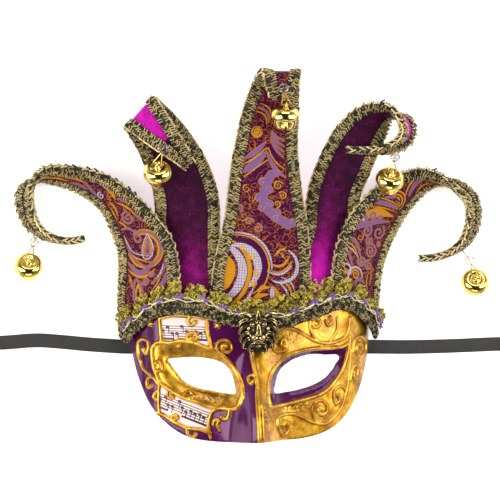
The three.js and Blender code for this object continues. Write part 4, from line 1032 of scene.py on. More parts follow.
# the white figures are netted with a fine dark mesh
NET_WIDTH = 1.8
bars = [calc("ABSOLUTE", calc("SINE", calc("MULTIPLY", spot.outputs[axis], math.pi / NET_WIDTH)))
        for axis in (0, 1)]
net = calc("LESS_THAN", calc("MINIMUM", *bars), 0.26)
base = blend(tree, patchy, (0.085, 0.002, 0.070, 1), (0.085, 0.003, 0.022, 1))
faint = ramp(tree, patchy, [(0.35, (0.35,) * 3), (0.6, (1.0,) * 3)])
colour = blend(tree, calc("MULTIPLY", work.outputs[0], faint), base, (0.52, 0.15, 0.006, 1))
orange = blend(tree, calc("MULTIPLY", stripe, fleck), (0.86, 0.40, 0.015, 1), (0.50, 0.13, 0.006, 1))
lilac = blend(tree, fleck, (0.17, 0.06, 0.23, 1), (0.42, 0.22, 0.46, 1))
white = blend(tree, fleck, (0.62, 0.50, 0.64, 1), (0.88, 0.84, 0.88, 1))
white = blend(tree, net, white, (0.30, 0.15, 0.28, 1))
depth = {layer: attribute(tree, layer) for layer in LAYERS}
# from the bottom up: each figure's outline, where it has one, then the figure itself
for layer, level, soft, dye in (
        ("orange", -0.3, 0.12, (0.10, 0.006, 0.035, 1)), ("orange", 0.0, 0.1, orange),
        ("plum", 0.0, 0.1, (0.080, 0.005, 0.070, 1)),
        ("lilac", -0.32, 0.12, (0.60, 0.22, 0.015, 1)), ("lilac", 0.0, 0.1, lilac),
        ("white", -0.32, 0.12, (0.13, 0.008, 0.060, 1)), ("white", 0.0, 0.1, white),
        ("gold", 0.0, 0.12, (0.86, 0.42, 0.04, 1))):
    colour = blend(tree, above(tree, depth[layer], level, soft), colour, dye)
shade = ramp(tree, calc("MULTIPLY", work.outputs[1], fleck), [(0.1, (0.62,) * 3), (0.5, (1.0,) * 3)])
mixed = place(tree, "ShaderNodeMix", {0: 1.0, 6: colour, 7: shade}, data_type="RGBA", blend_type="MULTIPLY")
woven = calc("MAXIMUM", depth["white"], calc("MAXIMUM", depth["lilac"], depth["orange"]))
raised = calc("MULTIPLY", above(tree, woven, 0.0, 0.3), 0.8)
raised = calc("ADD", calc("MULTIPLY", work.outputs[1], 0.5), raised)
feed(tree, shader, {"Base Color": mixed.outputs[2], "Roughness": rescaled(tree, fleck, (0.32, 0.55)),
                    "Specular IOR Level": 0.07, "Normal": bump(tree, raised, 0.00018, 0.7)})

velvet, tree, shader = material("cut_velvet")
calc = partial(sums, tree)
cloth = place(tree, "ShaderNodeUVMap", uv_map="cloth").outputs[0]
pile = noise(tree, cloth, 0.8, 4.0, 0.75)
crushed = noise(tree, cloth, 0.16, 3.0, 0.6)
uneven = calc("ADD", calc("MULTIPLY", calc("SUBTRACT", pile, 0.5), 1.3),
              calc("MULTIPLY", calc("SUBTRACT", crushed, 0.5), 0.8))
# the base colour follows painted light on the pile, made uneven by the pile's own noise
painted_pile_light = calc("ADD", attribute(tree, "painted_pile_light"), uneven)
feed(tree, shader, {
    "Base Color": ramp(tree, painted_pile_light, [(0.05, (0.030, 0.001, 0.018)), (0.4, (0.155, 0.002, 0.088)),
                                   (0.72, (0.47, 0.004, 0.30)), (1.0, (0.76, 0.01, 0.56))]),
    "Roughness": 0.85, "Specular IOR Level": 0.2, "Sheen Weight": 0.25, "Sheen Roughness": 0.35,
    "Sheen Tint": (0.9, 0.25, 0.75, 1), "Normal": bump(tree, pile, 0.0005, 0.6),
})

# painted light on the velvet's pile: a low level everywhere, a bright reverse where the fold turns up
# to the light, and lit places (across, along, reaches, strength)
PILE_LIGHT_PLAIN = 0.05
PILE_LIGHT_REVERSE = 0.8
PILE_LIGHT_SPOTS = {
    "inner_left": [(0, 36, 20, 26, 0.46)],
    "inner_right": [(3, 34, 16, 30, 0.95), (4, 80, 9, 30, 0.16)],
}

HORNS = {
    "outer_left": (OUTER_LEFT, 1, 3.5, brocade, "brocade"),
    "inner_left": (INNER_LEFT, 1, 1.0, velvet, "velvet"),
    "centre": (CENTRE, 1, 4.5, brocade, "brocade"),
    "inner_right": (INNER_RIGHT, -1, 1.0, velvet, "velvet"),
    "outer_right": (OUTER_RIGHT, -1, 3.5, brocade, "brocade"),
}
# the mesh's columns across a panel, from edge to edge
COARSE = np.array([-1, -0.97, -0.9, -0.78, -0.62, -0.45, -0.25, -0.05, 0.15, 0.35, 0.55, 0.7, 0.84, 0.93,
                   0.98, 1])
FINE = np.concatenate([[-1, -0.985], np.linspace(-0.965, 0.965, 62), [0.985, 1]])
BRAID_OVERLAP = 0.6
NARROWEST = 1.9       # a panel ends where its half width falls below this


def panel_thickness(s):
    """Half a panel's thickness at shares s across: full in the middle, thinner at the edges."""
    return PANEL_THICK / 2 * ((1 - np.abs(s) ** 6) ** 0.5 * 0.45 + 0.55)


for number, (name, (rows, side, crown, cloth, slot)) in enumerate(HORNS.items()):
    shares = FINE if cloth is brocade else COARSE
    frames = horn_frames(rows, side, 0.75 if cloth is brocade else 1.4)
    width, at = frames[3], frames[5]
    half = 0.5 - (BRAID_WIDTH - BRAID_OVERLAP) / width
    narrow = half * width < NARROWEST
    last = int(np.argmax(narrow)) if narrow.any() else len(width)
    frames = [part[:last] for part in frames]
    half, width, at = half[:last, None], width[:last], at[:last]
    puckers = (PUCKER * np.sin(at[:, None] / 2.9 + 5 * half * shares + number) * np.abs(shares) ** 3
               * (1 - np.abs(shares) ** 9))
    back = COARSE[::-1]
    upper = horn_points(frames, crown, half * shares, panel_thickness(shares) + puckers)
    under = horn_points(frames, crown, half * back, -panel_thickness(back) + 0 * half)
    panel = outward(piece(f"{name}_horn_panel", *loft(rooted(np.concatenate([upper, under], axis=1))), cloth))
    u = half * np.concatenate([shares, back]) * width[:, None]
    v = np.broadcast_to(at[:, None], u.shape)
    set_map(panel, "cloth", np.stack([u, v], axis=2).reshape(-1, 2))
    if cloth is brocade:
        marks = drawn(FIGURES[name], u.ravel(), v.ravel())
        for depths in marks.values():
            depths.reshape(u.shape)[:, len(shares):] = OUTSIDE   # the reverse shows the ground alone
    else:
        # painted light: brighter pile in lit places, and on the whole reverse
        lit = sum(strength * np.exp(-((u - cu) / ru) ** 2 - ((v - cv) / rv) ** 2)
                  for cu, cv, ru, rv, strength in PILE_LIGHT_SPOTS[name]) + PILE_LIGHT_PLAIN
        lit[:, len(shares):] = PILE_LIGHT_REVERSE
        marks = {"painted_pile_light": lit}
    set_marks(panel.data, marks)
    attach(panel, "root")
    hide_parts(f"{name}_horn")


# Braid. A metal-thread braid, 9 mm wide, is folded over each edge of every horn: dark gimp wound with
# pale gold thread on both faces, and a bright chain cord along the very edge. Sewn right through.
def yarn_tree():
    """Bits of yarn, bowed or looped, set on a carrier's points and turned to its directions."""
    tree = bpy.data.node_groups.new("yarn_bits", "GeometryNodeTree")
    face = tree.interface
    face.new_socket("Carrier", in_out="INPUT", socket_type="NodeSocketGeometry")
    for key, kind, value in (
            ("Thickness", "Float", 0.0008), ("Length", "Float", 0.004), ("Bow", "Float", 0.0),
            ("Tumble", "Float", 0.0), ("Looped", "Bool", False), ("Steps", "Int", 5), ("Sides", "Int", 5),
            ("Seed", "Int", 1), ("Yarn", "Material", None)):
        socket = face.new_socket(key, in_out="INPUT", socket_type="NodeSocket" + kind)
        if value is not None:
            socket.default_value = value
    face.new_socket("Yarns", in_out="OUTPUT", socket_type="NodeSocketGeometry")
    start, end = tree.nodes.new("NodeGroupInput"), tree.nodes.new("NodeGroupOutput")
    given = start.outputs
    half = sums(tree, "MULTIPLY", given["Length"], 0.5)
    left = place(tree, "ShaderNodeCombineXYZ", {0: sums(tree, "MULTIPLY", half, -1.0)}).outputs[0]
    right = place(tree, "ShaderNodeCombineXYZ", {0: half}).outputs[0]
    line = place(tree, "GeometryNodeCurvePrimitiveLine", {"Start": left, "End": right}).outputs[0]
    line = place(tree, "GeometryNodeResampleCurve", {"Curve": line, "Count": given["Steps"]}).outputs[0]
    ring = place(tree, "GeometryNodeCurvePrimitiveCircle", {"Resolution": given["Steps"],
                                                            "Radius": half}).outputs[0]
    spot = place(tree, "ShaderNodeSeparateXYZ", {0: tree.nodes.new("GeometryNodeInputPosition").outputs[0]})
    share = sums(tree, "DIVIDE", spot.outputs[0], half)
    arch = sums(tree, "SUBTRACT", 1.0, sums(tree, "MULTIPLY", share, share))
    lift = place(tree, "ShaderNodeCombineXYZ", {2: sums(tree, "MULTIPLY", arch, given["Bow"])}).outputs[0]
    line = place(tree, "GeometryNodeSetPosition", {"Geometry": line, "Offset": lift}).outputs[0]
    wave = sums(tree, "SINE", sums(tree, "MULTIPLY", share, math.pi))
    warp = place(tree, "ShaderNodeCombineXYZ", {2: sums(tree, "MULTIPLY", wave, given["Bow"])}).outputs[0]
    ring = place(tree, "GeometryNodeSetPosition", {"Geometry": ring, "Offset": warp}).outputs[0]
    path = place(tree, "GeometryNodeSwitch", {"Switch": given["Looped"], "False": line, "True": ring},
                 input_type="GEOMETRY").outputs[0]
    profile = place(tree, "GeometryNodeCurvePrimitiveCircle", {
        "Resolution": given["Sides"], "Radius": sums(tree, "MULTIPLY", given["Thickness"], 0.5)}).outputs[0]
    bit = place(tree, "GeometryNodeCurveToMesh", {"Curve": path, "Profile Curve": profile,
                                                  "Fill Caps": True}).outputs[0]
    out, along = [place(tree, "GeometryNodeInputNamedAttribute", {"Name": key},
                        data_type="FLOAT_VECTOR").outputs[0] for key in ("out", "along")]
    turn = place(tree, "FunctionNodeAxesToRotation", {"Primary Axis": out, "Secondary Axis": along},
                 primary_axis="Z", secondary_axis="X").outputs[0]
    limits = {"Min": (-math.pi,) * 3, "Max": (math.pi,) * 3, "Seed": given["Seed"]}
    chance = place(tree, "FunctionNodeRandomValue", limits, data_type="FLOAT_VECTOR").outputs[0]
    chance = place(tree, "ShaderNodeVectorMath", {0: chance, "Scale": given["Tumble"]},
                   operation="SCALE").outputs[0]
    chance = place(tree, "FunctionNodeEulerToRotation", {0: chance}).outputs[0]
    turn = place(tree, "FunctionNodeRotateRotation", {"Rotation": turn, "Rotate By": chance},
                 rotation_space="LOCAL").outputs[0]
    size = place(tree, "GeometryNodeInputNamedAttribute", {"Name": "size"}, data_type="FLOAT").outputs[0]
    many = place(tree, "GeometryNodeInstanceOnPoints", {"Points": given["Carrier"], "Instance": bit,
                                                        "Rotation": turn, "Scale": size}).outputs[0]
    real = place(tree, "GeometryNodeRealizeInstances", {"Geometry": many}).outputs[0]
    real = place(tree, "GeometryNodeSetShadeSmooth", {"Geometry": real}).outputs[0]
    real = place(tree, "GeometryNodeSetMaterial", {"Geometry": real, "Material": given["Yarn"]}).outputs[0]
    tree.links.new(real, end.inputs[0])
    return tree


YARN_BITS = yarn_tree()


def baked_mesh(made):
    """An object's mesh as its modifiers leave it."""
    return bpy.data.meshes.new_from_object(made.evaluated_get(bpy.context.evaluated_depsgraph_get()))


def yarns(name, spots, along, out, finish, tone, size=None, **settings):
    """Yarn bits on spots (mask millimetres), baked to a mesh."""
    mesh = bpy.data.meshes.new(name + "_carrier")
    mesh.from_pydata(((np.asarray(spots) + SHIFT) / 1000).tolist(), [], [])
    for key, values in (("along", along), ("out", out)):
        layer = mesh.attributes.new(key, "FLOAT_VECTOR", "POINT")
        layer.data.foreach_set("vector", np.asarray(values).ravel())
    set_marks(mesh, {"size": np.ones(len(spots)) if size is None else size, "tone": tone})
    carrier = bpy.data.objects.new(name + "_carrier", mesh)
    bpy.context.collection.objects.link(carrier)
    modifier = carrier.modifiers.new("yarn", "NODES")
    modifier.node_group = YARN_BITS
    items = YARN_BITS.interface.items_tree
    sockets = {item.name: item.identifier for item in items if item.in_out == "INPUT"}
    modifier[sockets["Yarn"]] = finish
    for key, value in settings.items():
        modifier[sockets[key.replace("_", " ")]] = value
    baked = baked_mesh(carrier)
    bpy.data.objects.remove(carrier)
    made = bpy.data.objects.new(name, baked)
    bpy.context.collection.objects.link(made)
    return made


def joined(first, *others):
    """One object of several."""
    with bpy.context.temp_override(active_object=first, selected_editable_objects=[first, *others]):
        bpy.ops.object.join()
    return first


FLECK = 1.3       # how far the flecks move a thread's tone


def thread(name, dark, light, shine):
    """Metal thread: each bit's tone and flecks pick its colour between dark gimp and pale gold."""
    made, tree, shader = material(name)
    here = on_piece(tree)
    tone = attribute(tree, "tone")
    fleck = noise(tree, here, 900.0, 3.0)
    share = sums(tree, "ADD", tone, sums(tree, "MULTIPLY", sums(tree, "SUBTRACT", fleck, 0.5), FLECK))
    brown = [0.26 * c for c in light]
    pale = [c ** 0.75 for c in light]
    feed(tree, shader, {
        "Base Color": ramp(tree, share, [(0.2, dark), (0.38, brown), (0.6, light), (0.95, pale)]),
        "Metallic": rescaled(tree, tone, (0.1, shine)), "Roughness": 0.42,
        "Normal": bump(tree, noise(tree, here, 2600.0, 2.0), 0.00015, 0.7),
    })
    return made


gimp_thread = thread("braid_thread", (0.009, 0.007, 0.002), (0.62, 0.465, 0.175), 0.6)
edge_thread = thread("edge_thread", (0.018, 0.012, 0.003), (0.78, 0.60, 0.26), 0.7)

braid_base, tree, shader = material("braid_ground")
here = on_piece(tree)
speck = noise(tree, here, 700.0, 4.0, 0.7)
feed(tree, shader, {
    "Base Color": ramp(tree, speck, [(0.42, (0.005, 0.005, 0.003)), (0.58, (0.030, 0.027, 0.012)),
                                     (0.72, (0.22, 0.18, 0.08))]),
    "Roughness": 0.6, "Normal": bump(tree, speck, 0.0006, 0.9),
})

WRAP_STEP = 1.6
CHAIN_STEP = 2.3
CHAIN_INSET = 1.15    # of the chain's middle, from the horn's edge
EDGE_INSET = 1.1      # of the ground, from the horn's edge
HALF_THICK = 2.05     # of the ground
LOOP_HEIGHT = 2.12    # of the knitted loops over the horn's middle surface
random = np.random.default_rng(11)


def squared(wave, power):
    """A sine or cosine with fuller shoulders, for flattened tubes."""
    return np.sign(wave) * np.abs(wave) ** power


def ring_angles(count):
    """Angles that go once round."""
    return np.linspace(0, 2 * math.pi, count + 1)[:-1]


def tones(usual, spread, count):
    """Random thread tones, most of them near the usual one."""
    return np.clip(random.normal(usual, spread, count), 0, 1)


def off_brow(spots, gap):
    """Which spots lie beyond the cut along the brow, by a gap."""
    return spots[:, 1] > np.interp(spots[:, 0], ROOT[:, 0], ROOT[:, 1]) + gap


for number, (name, (rows, side, crown, cloth, slot)) in enumerate(HORNS.items()):
    frames = horn_frames(rows, side, 0.58)
    middle, across, out, width, share, at, along = frames
    parts = []
    for edge in (1, -1):
        # ground: a flattened tube between the horn's edge and the panel
        inner = np.maximum(0.1, width / 2 - BRAID_WIDTH + 0.2)
        centre = (width / 2 - EDGE_INSET + inner) / 2
        reach = (width / 2 - EDGE_INSET - inner) / 2
        angle = ring_angles(14)
        c, s = np.cos(angle), np.sin(angle)
        wide = squared(c, 0.7)
        thick = squared(s, 0.7) * (HALF_THICK - 0.25 * (c > 0) * np.abs(c))
        picked = slice(None, None, 3)
        offset = edge * (centre[picked, None] + reach[picked, None] * wide)
        taken = [part[picked] for part in frames]
        height = np.broadcast_to(thick, offset.shape)
        ring = rooted(horn_points(taken, crown, offset / width[picked, None], height))
        parts.append(outward(piece(f"{name}_braid_ground", *loft(ring), braid_base)))
        for face_side in (1, -1):
            # knitted loops in three columns, the middle one half a step on
            count = int(at[-1] / WRAP_STEP)
            for column in (-1, 0, 1):
                step_on = 0.5 + 0.5 * (column == 0)
                spot_at = (np.arange(count) + step_on) * WRAP_STEP + random.normal(0, 0.16, count)
                index = np.clip(np.searchsorted(at, spot_at), 1, len(at) - 2)
                chosen = [part[index] for part in frames]
                offset = edge * (centre[index] + 0.55 * column * reach[index])
                lift = np.full((count, 1), face_side * (LOOP_HEIGHT - 0.12 * abs(column)))
                spots = horn_points(chosen, crown, (offset / width[index])[:, None], lift)[:, 0]
                keep = off_brow(spots, 0.6)
                slant = np.radians(26 * edge * (1 if column else -1) + random.normal(0, 11, count))[:, None]
                run = across[index] * np.cos(slant) + along[index] * np.sin(slant)
                tone = tones(0.62, 0.36, count)
                size = 2 * reach[index] / 7.4
                parts.append(yarns(f"{name}_loops", spots[keep], run[keep], (face_side * out[index])[keep],
                                   gimp_thread, size=size[keep], tone=tone[keep], Thickness=0.00078,
                                   Length=0.0027, Bow=0.0005, Steps=4, Sides=4, Seed=number))
        # chain: slanting bright stitches along the very edge
        count = int(at[-1] / CHAIN_STEP)
        spot_at = (np.arange(count) + 0.5) * CHAIN_STEP
        index = np.clip(np.searchsorted(at, spot_at), 1, len(at) - 2)
        up = np.where(np.arange(count) % 2 == 0, 1.0, -1.0)[:, None]
        chosen = [part[index] for part in frames]
        offset = edge * (width[index] / 2 - CHAIN_INSET)
        spots = horn_points(chosen, crown, (offset / width[index])[:, None], up * 0.85)[:, 0]
        keep = off_brow(spots, 0.8)
        run = unit(along[index] + out[index] * up * 0.5 + across[index] * edge * 0.25)
        tone = tones(0.68, 0.3, count)
        parts.append(yarns(f"{name}_chain", spots[keep], run[keep], (across[index] * edge)[keep], edge_thread,
                           tone=tone[keep], Thickness=0.0013, Length=0.0048, Bow=0.0005, Steps=5, Sides=5,
                           Seed=number))
    braid = joined(*parts)
    braid.name = f"{name}_horn_braid_cord"
    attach(braid, "root")
    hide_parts(f"{name}_horn_braid")


# Gimp. A thick ruched gimp of dark and gold looped threads, 10 mm wide, glued over the joint of the
# face and the horns from temple to temple.
GIMP_WIDTH = 10.0
RUCHES = 150      # stations along the gimp


def gimp_frames(count):
    """Stations along the gimp: middle, along, out and to the side."""
    middle = smooth_rows(GIMP_LINE, count)
    along = unit(np.gradient(middle, axis=0))
    out = unit(np.column_stack([middle[:, 0] * 0.62, 0 * middle[:, 0], middle[:, 2] + 8]))
    side = unit(np.cross(out, along))
    return middle, along, unit(np.cross(along, side)), side


middle, along, out, side = gimp_frames(RUCHES)
angle = ring_angles(16)
ruche = 1 + 0.10 * np.sin(np.arange(RUCHES) * 0.83)[:, None]
wide = 4.35 * squared(np.cos(angle), 0.75) * ruche
thick = 1.65 * squared(np.sin(angle), 0.75) * ruche
ring = middle[:, None] + side[:, None] * wide[..., None] + out[:, None] * thick[..., None]
gimp = outward(piece("brow_gimp_braid", *loft(ring), braid_base))
count = 2500
station = random.uniform(1, RUCHES - 2, count)
index = station.astype(int)
turn = random.uniform(-0.35, math.pi + 0.35, count)
wide = 4.25 * squared(np.cos(turn), 0.75)
thick = 1.75 * np.sin(turn)
spots = (middle[index] + along[index] * ((station - index) * 1.4)[:, None] + side[index] * wide[:, None]
         + out[index] * thick[:, None])
facing = unit(side[index] * np.cos(turn)[:, None] * 0.8 + out[index] * np.sin(turn)[:, None])
tone = np.where(random.uniform(size=count) < 0.62, random.uniform(0, 0.22, count),
                random.uniform(0.55, 1.0, count))
loops = yarns("gimp_loops", spots, along[index], facing, gimp_thread, size=random.uniform(0.75, 1.2, count),
              tone=tone, Thickness=0.00062, Length=0.0021, Bow=0.0006, Tumble=0.32, Looped=True, Steps=7,
              Sides=3, Seed=5)
gimp = joined(gimp, loops)
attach(gimp, "root")
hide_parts("brow_gimp")


# Flower lace. A scalloped lace of yellow gold thread: looped tufts in a row, satin buds in pairs
# between them, and cream threads winding along its foot. Glued on the horns' roots above the gimp.
LACE_TOP = [
    [-98.6, -45.8, 10], [-84.9, -34.2, 19.5], [-73.5, -27.7, 28], [-62.7, -22.7, 34.5], [-52.6, -20.6, 40],
    [-37.1, -23.3, 45], [-21.4, -28.8, 48], [1.3, -31.5, 49.5], [16.8, -29.5, 49], [28.1, -26.8, 47.5],
    [39.8, -20.6, 44], [48.6, -17.9, 41], [62.2, -18, 34.5], [75, -21.7, 27], [83.2, -31.1, 20],
    [91.5, -38.4, 12.5], [97.3, -45.7, 8],
]
LACE_LIFT = 1.6
lace_thread = thread("lace_thread", (0.12, 0.075, 0.004), (0.92, 0.72, 0.08), 0.3)
TUFTS = 15
stations = 30 * TUFTS
base = smooth_rows(GIMP_LINE, stations) + [0, 0, LACE_LIFT]
tip = smooth_rows(LACE_TOP, stations)
rise = unit(tip - base)
height = np.linalg.norm(tip - base, axis=1)
along = unit(np.gradient(base, axis=0))
out = unit(np.cross(along, rise))
base = base + rise * (GIMP_WIDTH / 2 + 0.4)
height = height - GIMP_WIDTH / 2 + 1.0
phase = (np.arange(stations) / (stations - 1) * TUFTS) % 1.0
reach = height * (0.28 + 0.76 * np.sqrt(np.clip(1 - (2 * phase - 1) ** 2, 0, 1)))
count = 2600
index = random.integers(2, stations - 2, count)
up = random.uniform(0, 1, count) ** 0.75
keep = ~((up > 0.4) & (np.abs(phase[index] - 0.5) > 0.38))
index, up = index[keep], up[keep]
count = len(index)
off = random.normal(0, 0.65, count)[:, None]
spots = base[index] + rise[index] * (up * reach[index])[:, None] + out[index] * off
tone = tones(0.6, 0.36, count)
lace = yarns("flower_lace_trim", spots, along[index], out[index], lace_thread,
             size=random.uniform(0.7, 1.15, count), tone=tone, Thickness=0.00062, Length=0.0019, Bow=0.0005,
             Tumble=0.45, Looped=True, Steps=6, Sides=3, Seed=9)
top = base + rise * (reach * 0.6)[:, None]
ring = np.stack([base + out * 0.4, top + out * 0.3, top - out * 0.3, base - out * 0.4], axis=1)
ground = outward(piece("lace_ground", *loft(ring[::5]), lace_thread))
set_marks(ground.data, {"tone": np.zeros(len(ground.data.vertices))})

STRAND_RADIUS = 0.42
cream_thread = thread("cream_thread", (0.30, 0.22, 0.08), (0.86, 0.74, 0.46), 0.4)


def rings_about(line, radius, side, lift, around):
    """Round sections about a line, each set by a way to its side and one out of it."""
    angle = ring_angles(around)
    return line[:, None] + np.reshape(radius, (-1, 1, 1)) * (side[:, None] * np.cos(angle)[None, :, None]
                                                             + lift[:, None] * np.sin(angle)[None, :, None])


strands = []
for k, (level, swing) in enumerate(((0.6, 1.5), (-0.2, 1.1))):
    walk = np.arange(8, stations - 8, 2)
    offset = level + swing * np.sin(phase[walk] * 2 * math.pi + k * 2.1) + 0.4 * np.sin(walk * 0.23 + k)
    line = base[walk] + rise[walk] * offset[:, None] + out[walk] * 1.35
    span = unit(np.gradient(line, axis=0))
    side = unit(np.cross(out[walk], span))
    strand = outward(piece("lace_strand", *loft(rings_about(line, STRAND_RADIUS, side, out[walk], 6)),
                           cream_thread))
    wound = np.arange(len(strand.data.vertices)) / 6
    set_marks(strand.data, {"tone": 0.75 + 0.25 * np.sin(wound * 1.9)})
    strands.append(strand)

bud_satin, tree, shader = material("satin_bud")
here = on_piece(tree)
feed(tree, shader, {
    "Base Color": blend(tree, noise(tree, here, 500.0), (0.10, 0.018, 0.26, 1), (0.26, 0.075, 0.52, 1)),
    "Roughness": 0.3, "Sheen Weight": 0.5,
    "Normal": bump(tree, noise(tree, here, 900.0, 3.0), 0.0003, 0.8),
})


def ball(centre, axes, radii, rings=10, around=14, pinch=0.0):
    """Points and faces of an ellipsoid, its surface pinched into folds if asked."""
    polar = np.linspace(0, math.pi, rings)[1:-1]
    turn = ring_angles(around)
    swell = 1 - pinch * (0.5 + 0.5 * np.cos(5 * turn))[None, :, None]
    unit_ball = np.stack([np.sin(polar)[:, None] * np.cos(turn), np.sin(polar)[:, None] * np.sin(turn),
                          np.cos(polar)[:, None] + 0 * turn], axis=2) * swell
    spots = np.vstack([unit_ball.reshape(-1, 3), [[0, 0, 1], [0, 0, -1]]]) * radii
    last = len(spots)
    faces = [(i * around + k, i * around + (k + 1) % around, (i + 1) * around + (k + 1) % around,
              (i + 1) * around + k) for i in range(len(polar) - 1) for k in range(around)]
    faces += [(last - 2, (k + 1) % around, k) for k in range(around)]
    foot = (len(polar) - 1) * around
    faces += [(last - 1, foot + k, foot + (k + 1) % around) for k in range(around)]
    return spots @ np.asarray(axes) + centre, faces


def merged(shapes):
    """Several shapes' points and faces as one."""
    spots, faces, first = [], [], 0
    for part, part_faces in shapes:
        spots.append(part)
        faces.extend(tuple(first + i for i in f) for f in part_faces)
        first += len(part)
    return np.vstack(spots), faces


shapes = []
for k in range(TUFTS + 1):
    index = int(np.clip(k * (stations - 1) / TUFTS, 12, stations - 13))
    for j, (offset, lift) in enumerate(((-1.6, 1.6 + (k % 3) * 0.7), (1.7, 2.0 - (k % 2) * 0.9))):
        centre = base[index] + along[index] * offset + rise[index] * lift + out[index] * 1.5
        shapes.append(ball(centre, [along[index], rise[index], out[index]],
                           np.array([2.1 + 0.3 * ((k + j) % 2), 1.7, 1.4]), pinch=0.2))
buds = outward(piece("lace_buds", *merged(shapes), bud_satin))
lace = joined(lace, ground, *strands, buds)
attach(lace, "root")
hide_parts("flower_lace")


# Lion's head boss. One casting in a dark toned brass, 29 mm wide: a lion's face in a mane of curled
# locks, its high places rubbed bright and given painted highlights. Glued over the middle of the gimp.
LION_AT = np.array([0.6, -53.2, 54.2])
UPRIGHT = np.eye(3)
FINEST = 0.12      # the thinnest stroke that the casting takes


def tapered(line, radii, around=10):
    """A rounded stroke through points, with a radius at each."""
    rows = smooth_rows(np.column_stack([line, radii]), 6 * len(line))
    spine, radius = rows[:, :3], np.maximum(rows[:, 3], FINEST)
    along = unit(np.gradient(spine, axis=0))
    side = unit(np.cross(along, [0.05, 0.02, 1.0]))
    ends = [ball(spine[k], UPRIGHT, np.full(3, radius[k]), 8, 10) for k in (0, -1)]
    return [loft(rings_about(spine, radius, side, np.cross(side, along), around)), *ends]


def mirrored(shapes):
    """Shapes and their mirror images across the lion's middle."""
    return [*shapes, *[(spots * [-1, 1, 1], [f[::-1] for f in faces]) for spots, faces in shapes]]


def blob(x, y, z, a, b, c, turn=0.0):
    """A rounded lump at a place, with its three reaches, turned by degrees."""
    cos, sin = math.cos(math.radians(turn)), math.sin(math.radians(turn))
    return ball(np.array([x, y, z]), [[cos, sin, 0], [-sin, cos, 0], [0, 0, 1]], np.array([a, b, c]), 12, 16)


# the boss itself, the face's middle and the muzzle
parts = [blob(0, -1, 1.6, 11.4, 13.4, 4.6), blob(0, 2.4, 4.4, 5.8, 7.6, 2.3),
         blob(0, -4.6, 5.0, 3.9, 3.6, 2.2)]
# forehead ridges to the crown peak, then brows
parts += mirrored(tapered([[0.4, 7.2, 7.0], [1.6, 8.8, 6.9], [0.9, 11.2, 6.2], [0, 14.6, 4.6]],
                          [0.7, 0.9, 0.8, 0.5]))
parts += mirrored(tapered([[1.2, 6.3, 7.0], [2.9, 8.7, 6.8], [5.0, 8.2, 6.2], [5.6, 6.2, 5.7]],
                          [0.8, 0.9, 0.8, 0.6]))
# a raised ring round each eye, then the eyes, cheek knobs, whisker pads and ears
RING_AT = [3.4, 5.3, 6.5]
RING_REACH = [2.1, 1.55, 0]
turn = np.linspace(0, 2 * math.pi, 11)
eye_ring = RING_AT + np.column_stack([np.cos(turn), np.sin(turn), turn]) * RING_REACH
parts += mirrored(tapered(eye_ring, np.full(len(turn), 0.5), 8))
parts += mirrored([blob(3.5, 5.2, 6.3, 1.2, 0.85, 1.0, -15), blob(6.7, 2.4, 5.6, 1.5, 1.7, 1.7),
                   blob(2.1, -3.4, 7.0, 2.3, 1.6, 1.5, 14)])
parts += mirrored(tapered([[5.0, 10.2, 4.6], [8.2, 12.6, 5.0], [11.6, 12.6, 4.4], [13.4, 10.6, 3.2]],
                          [0.9, 1.25, 1.0, 0.5]))
parts += mirrored(tapered([[6.0, 9.4, 4.2], [8.8, 11.0, 4.2], [11.2, 10.8, 3.6]], [0.5, 0.6, 0.4]))
# broad nose bar with its tip, split muzzle, open mouth and chin
parts += tapered([[0, 4.2, 7.0], [0, 1.4, 7.9], [0, -0.6, 8.3]], [1.5, 1.75, 1.9])
parts += mirrored(tapered([[0.8, 4.0, 8.2], [0.9, 1.4, 9.2], [1.0, -0.9, 9.6]], [0.55, 0.7, 0.75], 8))
parts += [blob(0, -1.7, 8.3, 2.6, 1.1, 1.4)]
parts += mirrored([blob(2.4, -3.9, 7.1, 2.6, 1.9, 1.7, 18)])
parts += mirrored(tapered([[0, -5.6, 7.6], [2.2, -6.2, 7.2], [4.4, -4.8, 6.6], [5.6, -1.6, 5.8]],
                          [0.6, 0.7, 0.65, 0.5]))
parts += mirrored(tapered([[0, -7.6, 6.6], [2.2, -7.3, 6.3], [3.2, -8.6, 5.6]], [0.5, 0.6, 0.5]))
parts += [blob(0, -10.0, 5.4, 2.5, 1.5, 1.6)]
# mane: locks sweep out and down from the face and curl back at their ends
LOCKS = [
    [[5.6, 7.4, 4.4], [9.0, 8.2, 5.2], [12.2, 6.4, 4.4], [12.9, 3.8, 3.4], [11.2, 4.0, 3.8]],
    [[6.0, 3.2, 4.4], [9.2, 3.8, 5.2], [12.0, 1.4, 4.4], [12.7, -1.4, 3.2], [10.9, -1.4, 3.6]],
    [[5.8, -0.8, 4.2], [8.8, -0.8, 5.0], [11.4, -3.6, 4.2], [12.0, -6.4, 3.0], [10.2, -6.4, 3.4]],
    [[5.0, -4.6, 4.2], [7.6, -5.2, 5.0], [9.8, -8.0, 4.0], [10.2, -10.8, 2.8], [8.2, -10.8, 3.2]],
    [[2.6, -8.6, 4.4], [4.8, -9.4, 4.8], [6.0, -12.0, 3.8], [5.0, -14.4, 2.8], [3.4, -13.2, 3.2]],
]
CRESTS = ((0.75, 1.25), (-0.65, 1.3))      # the two ridges along a lock: to its side, and up
for lock in LOCKS:
    strand = np.array(lock)
    parts += mirrored(tapered(strand, np.linspace(1.9, 0.8, len(lock)), 10))
    for aside, height in CRESTS:
        crest = strand + [0.25 * aside, aside, height]
        parts += mirrored(tapered(crest, np.linspace(0.62, 0.35, len(lock)), 8))
lion_points, lion_faces = merged(parts)

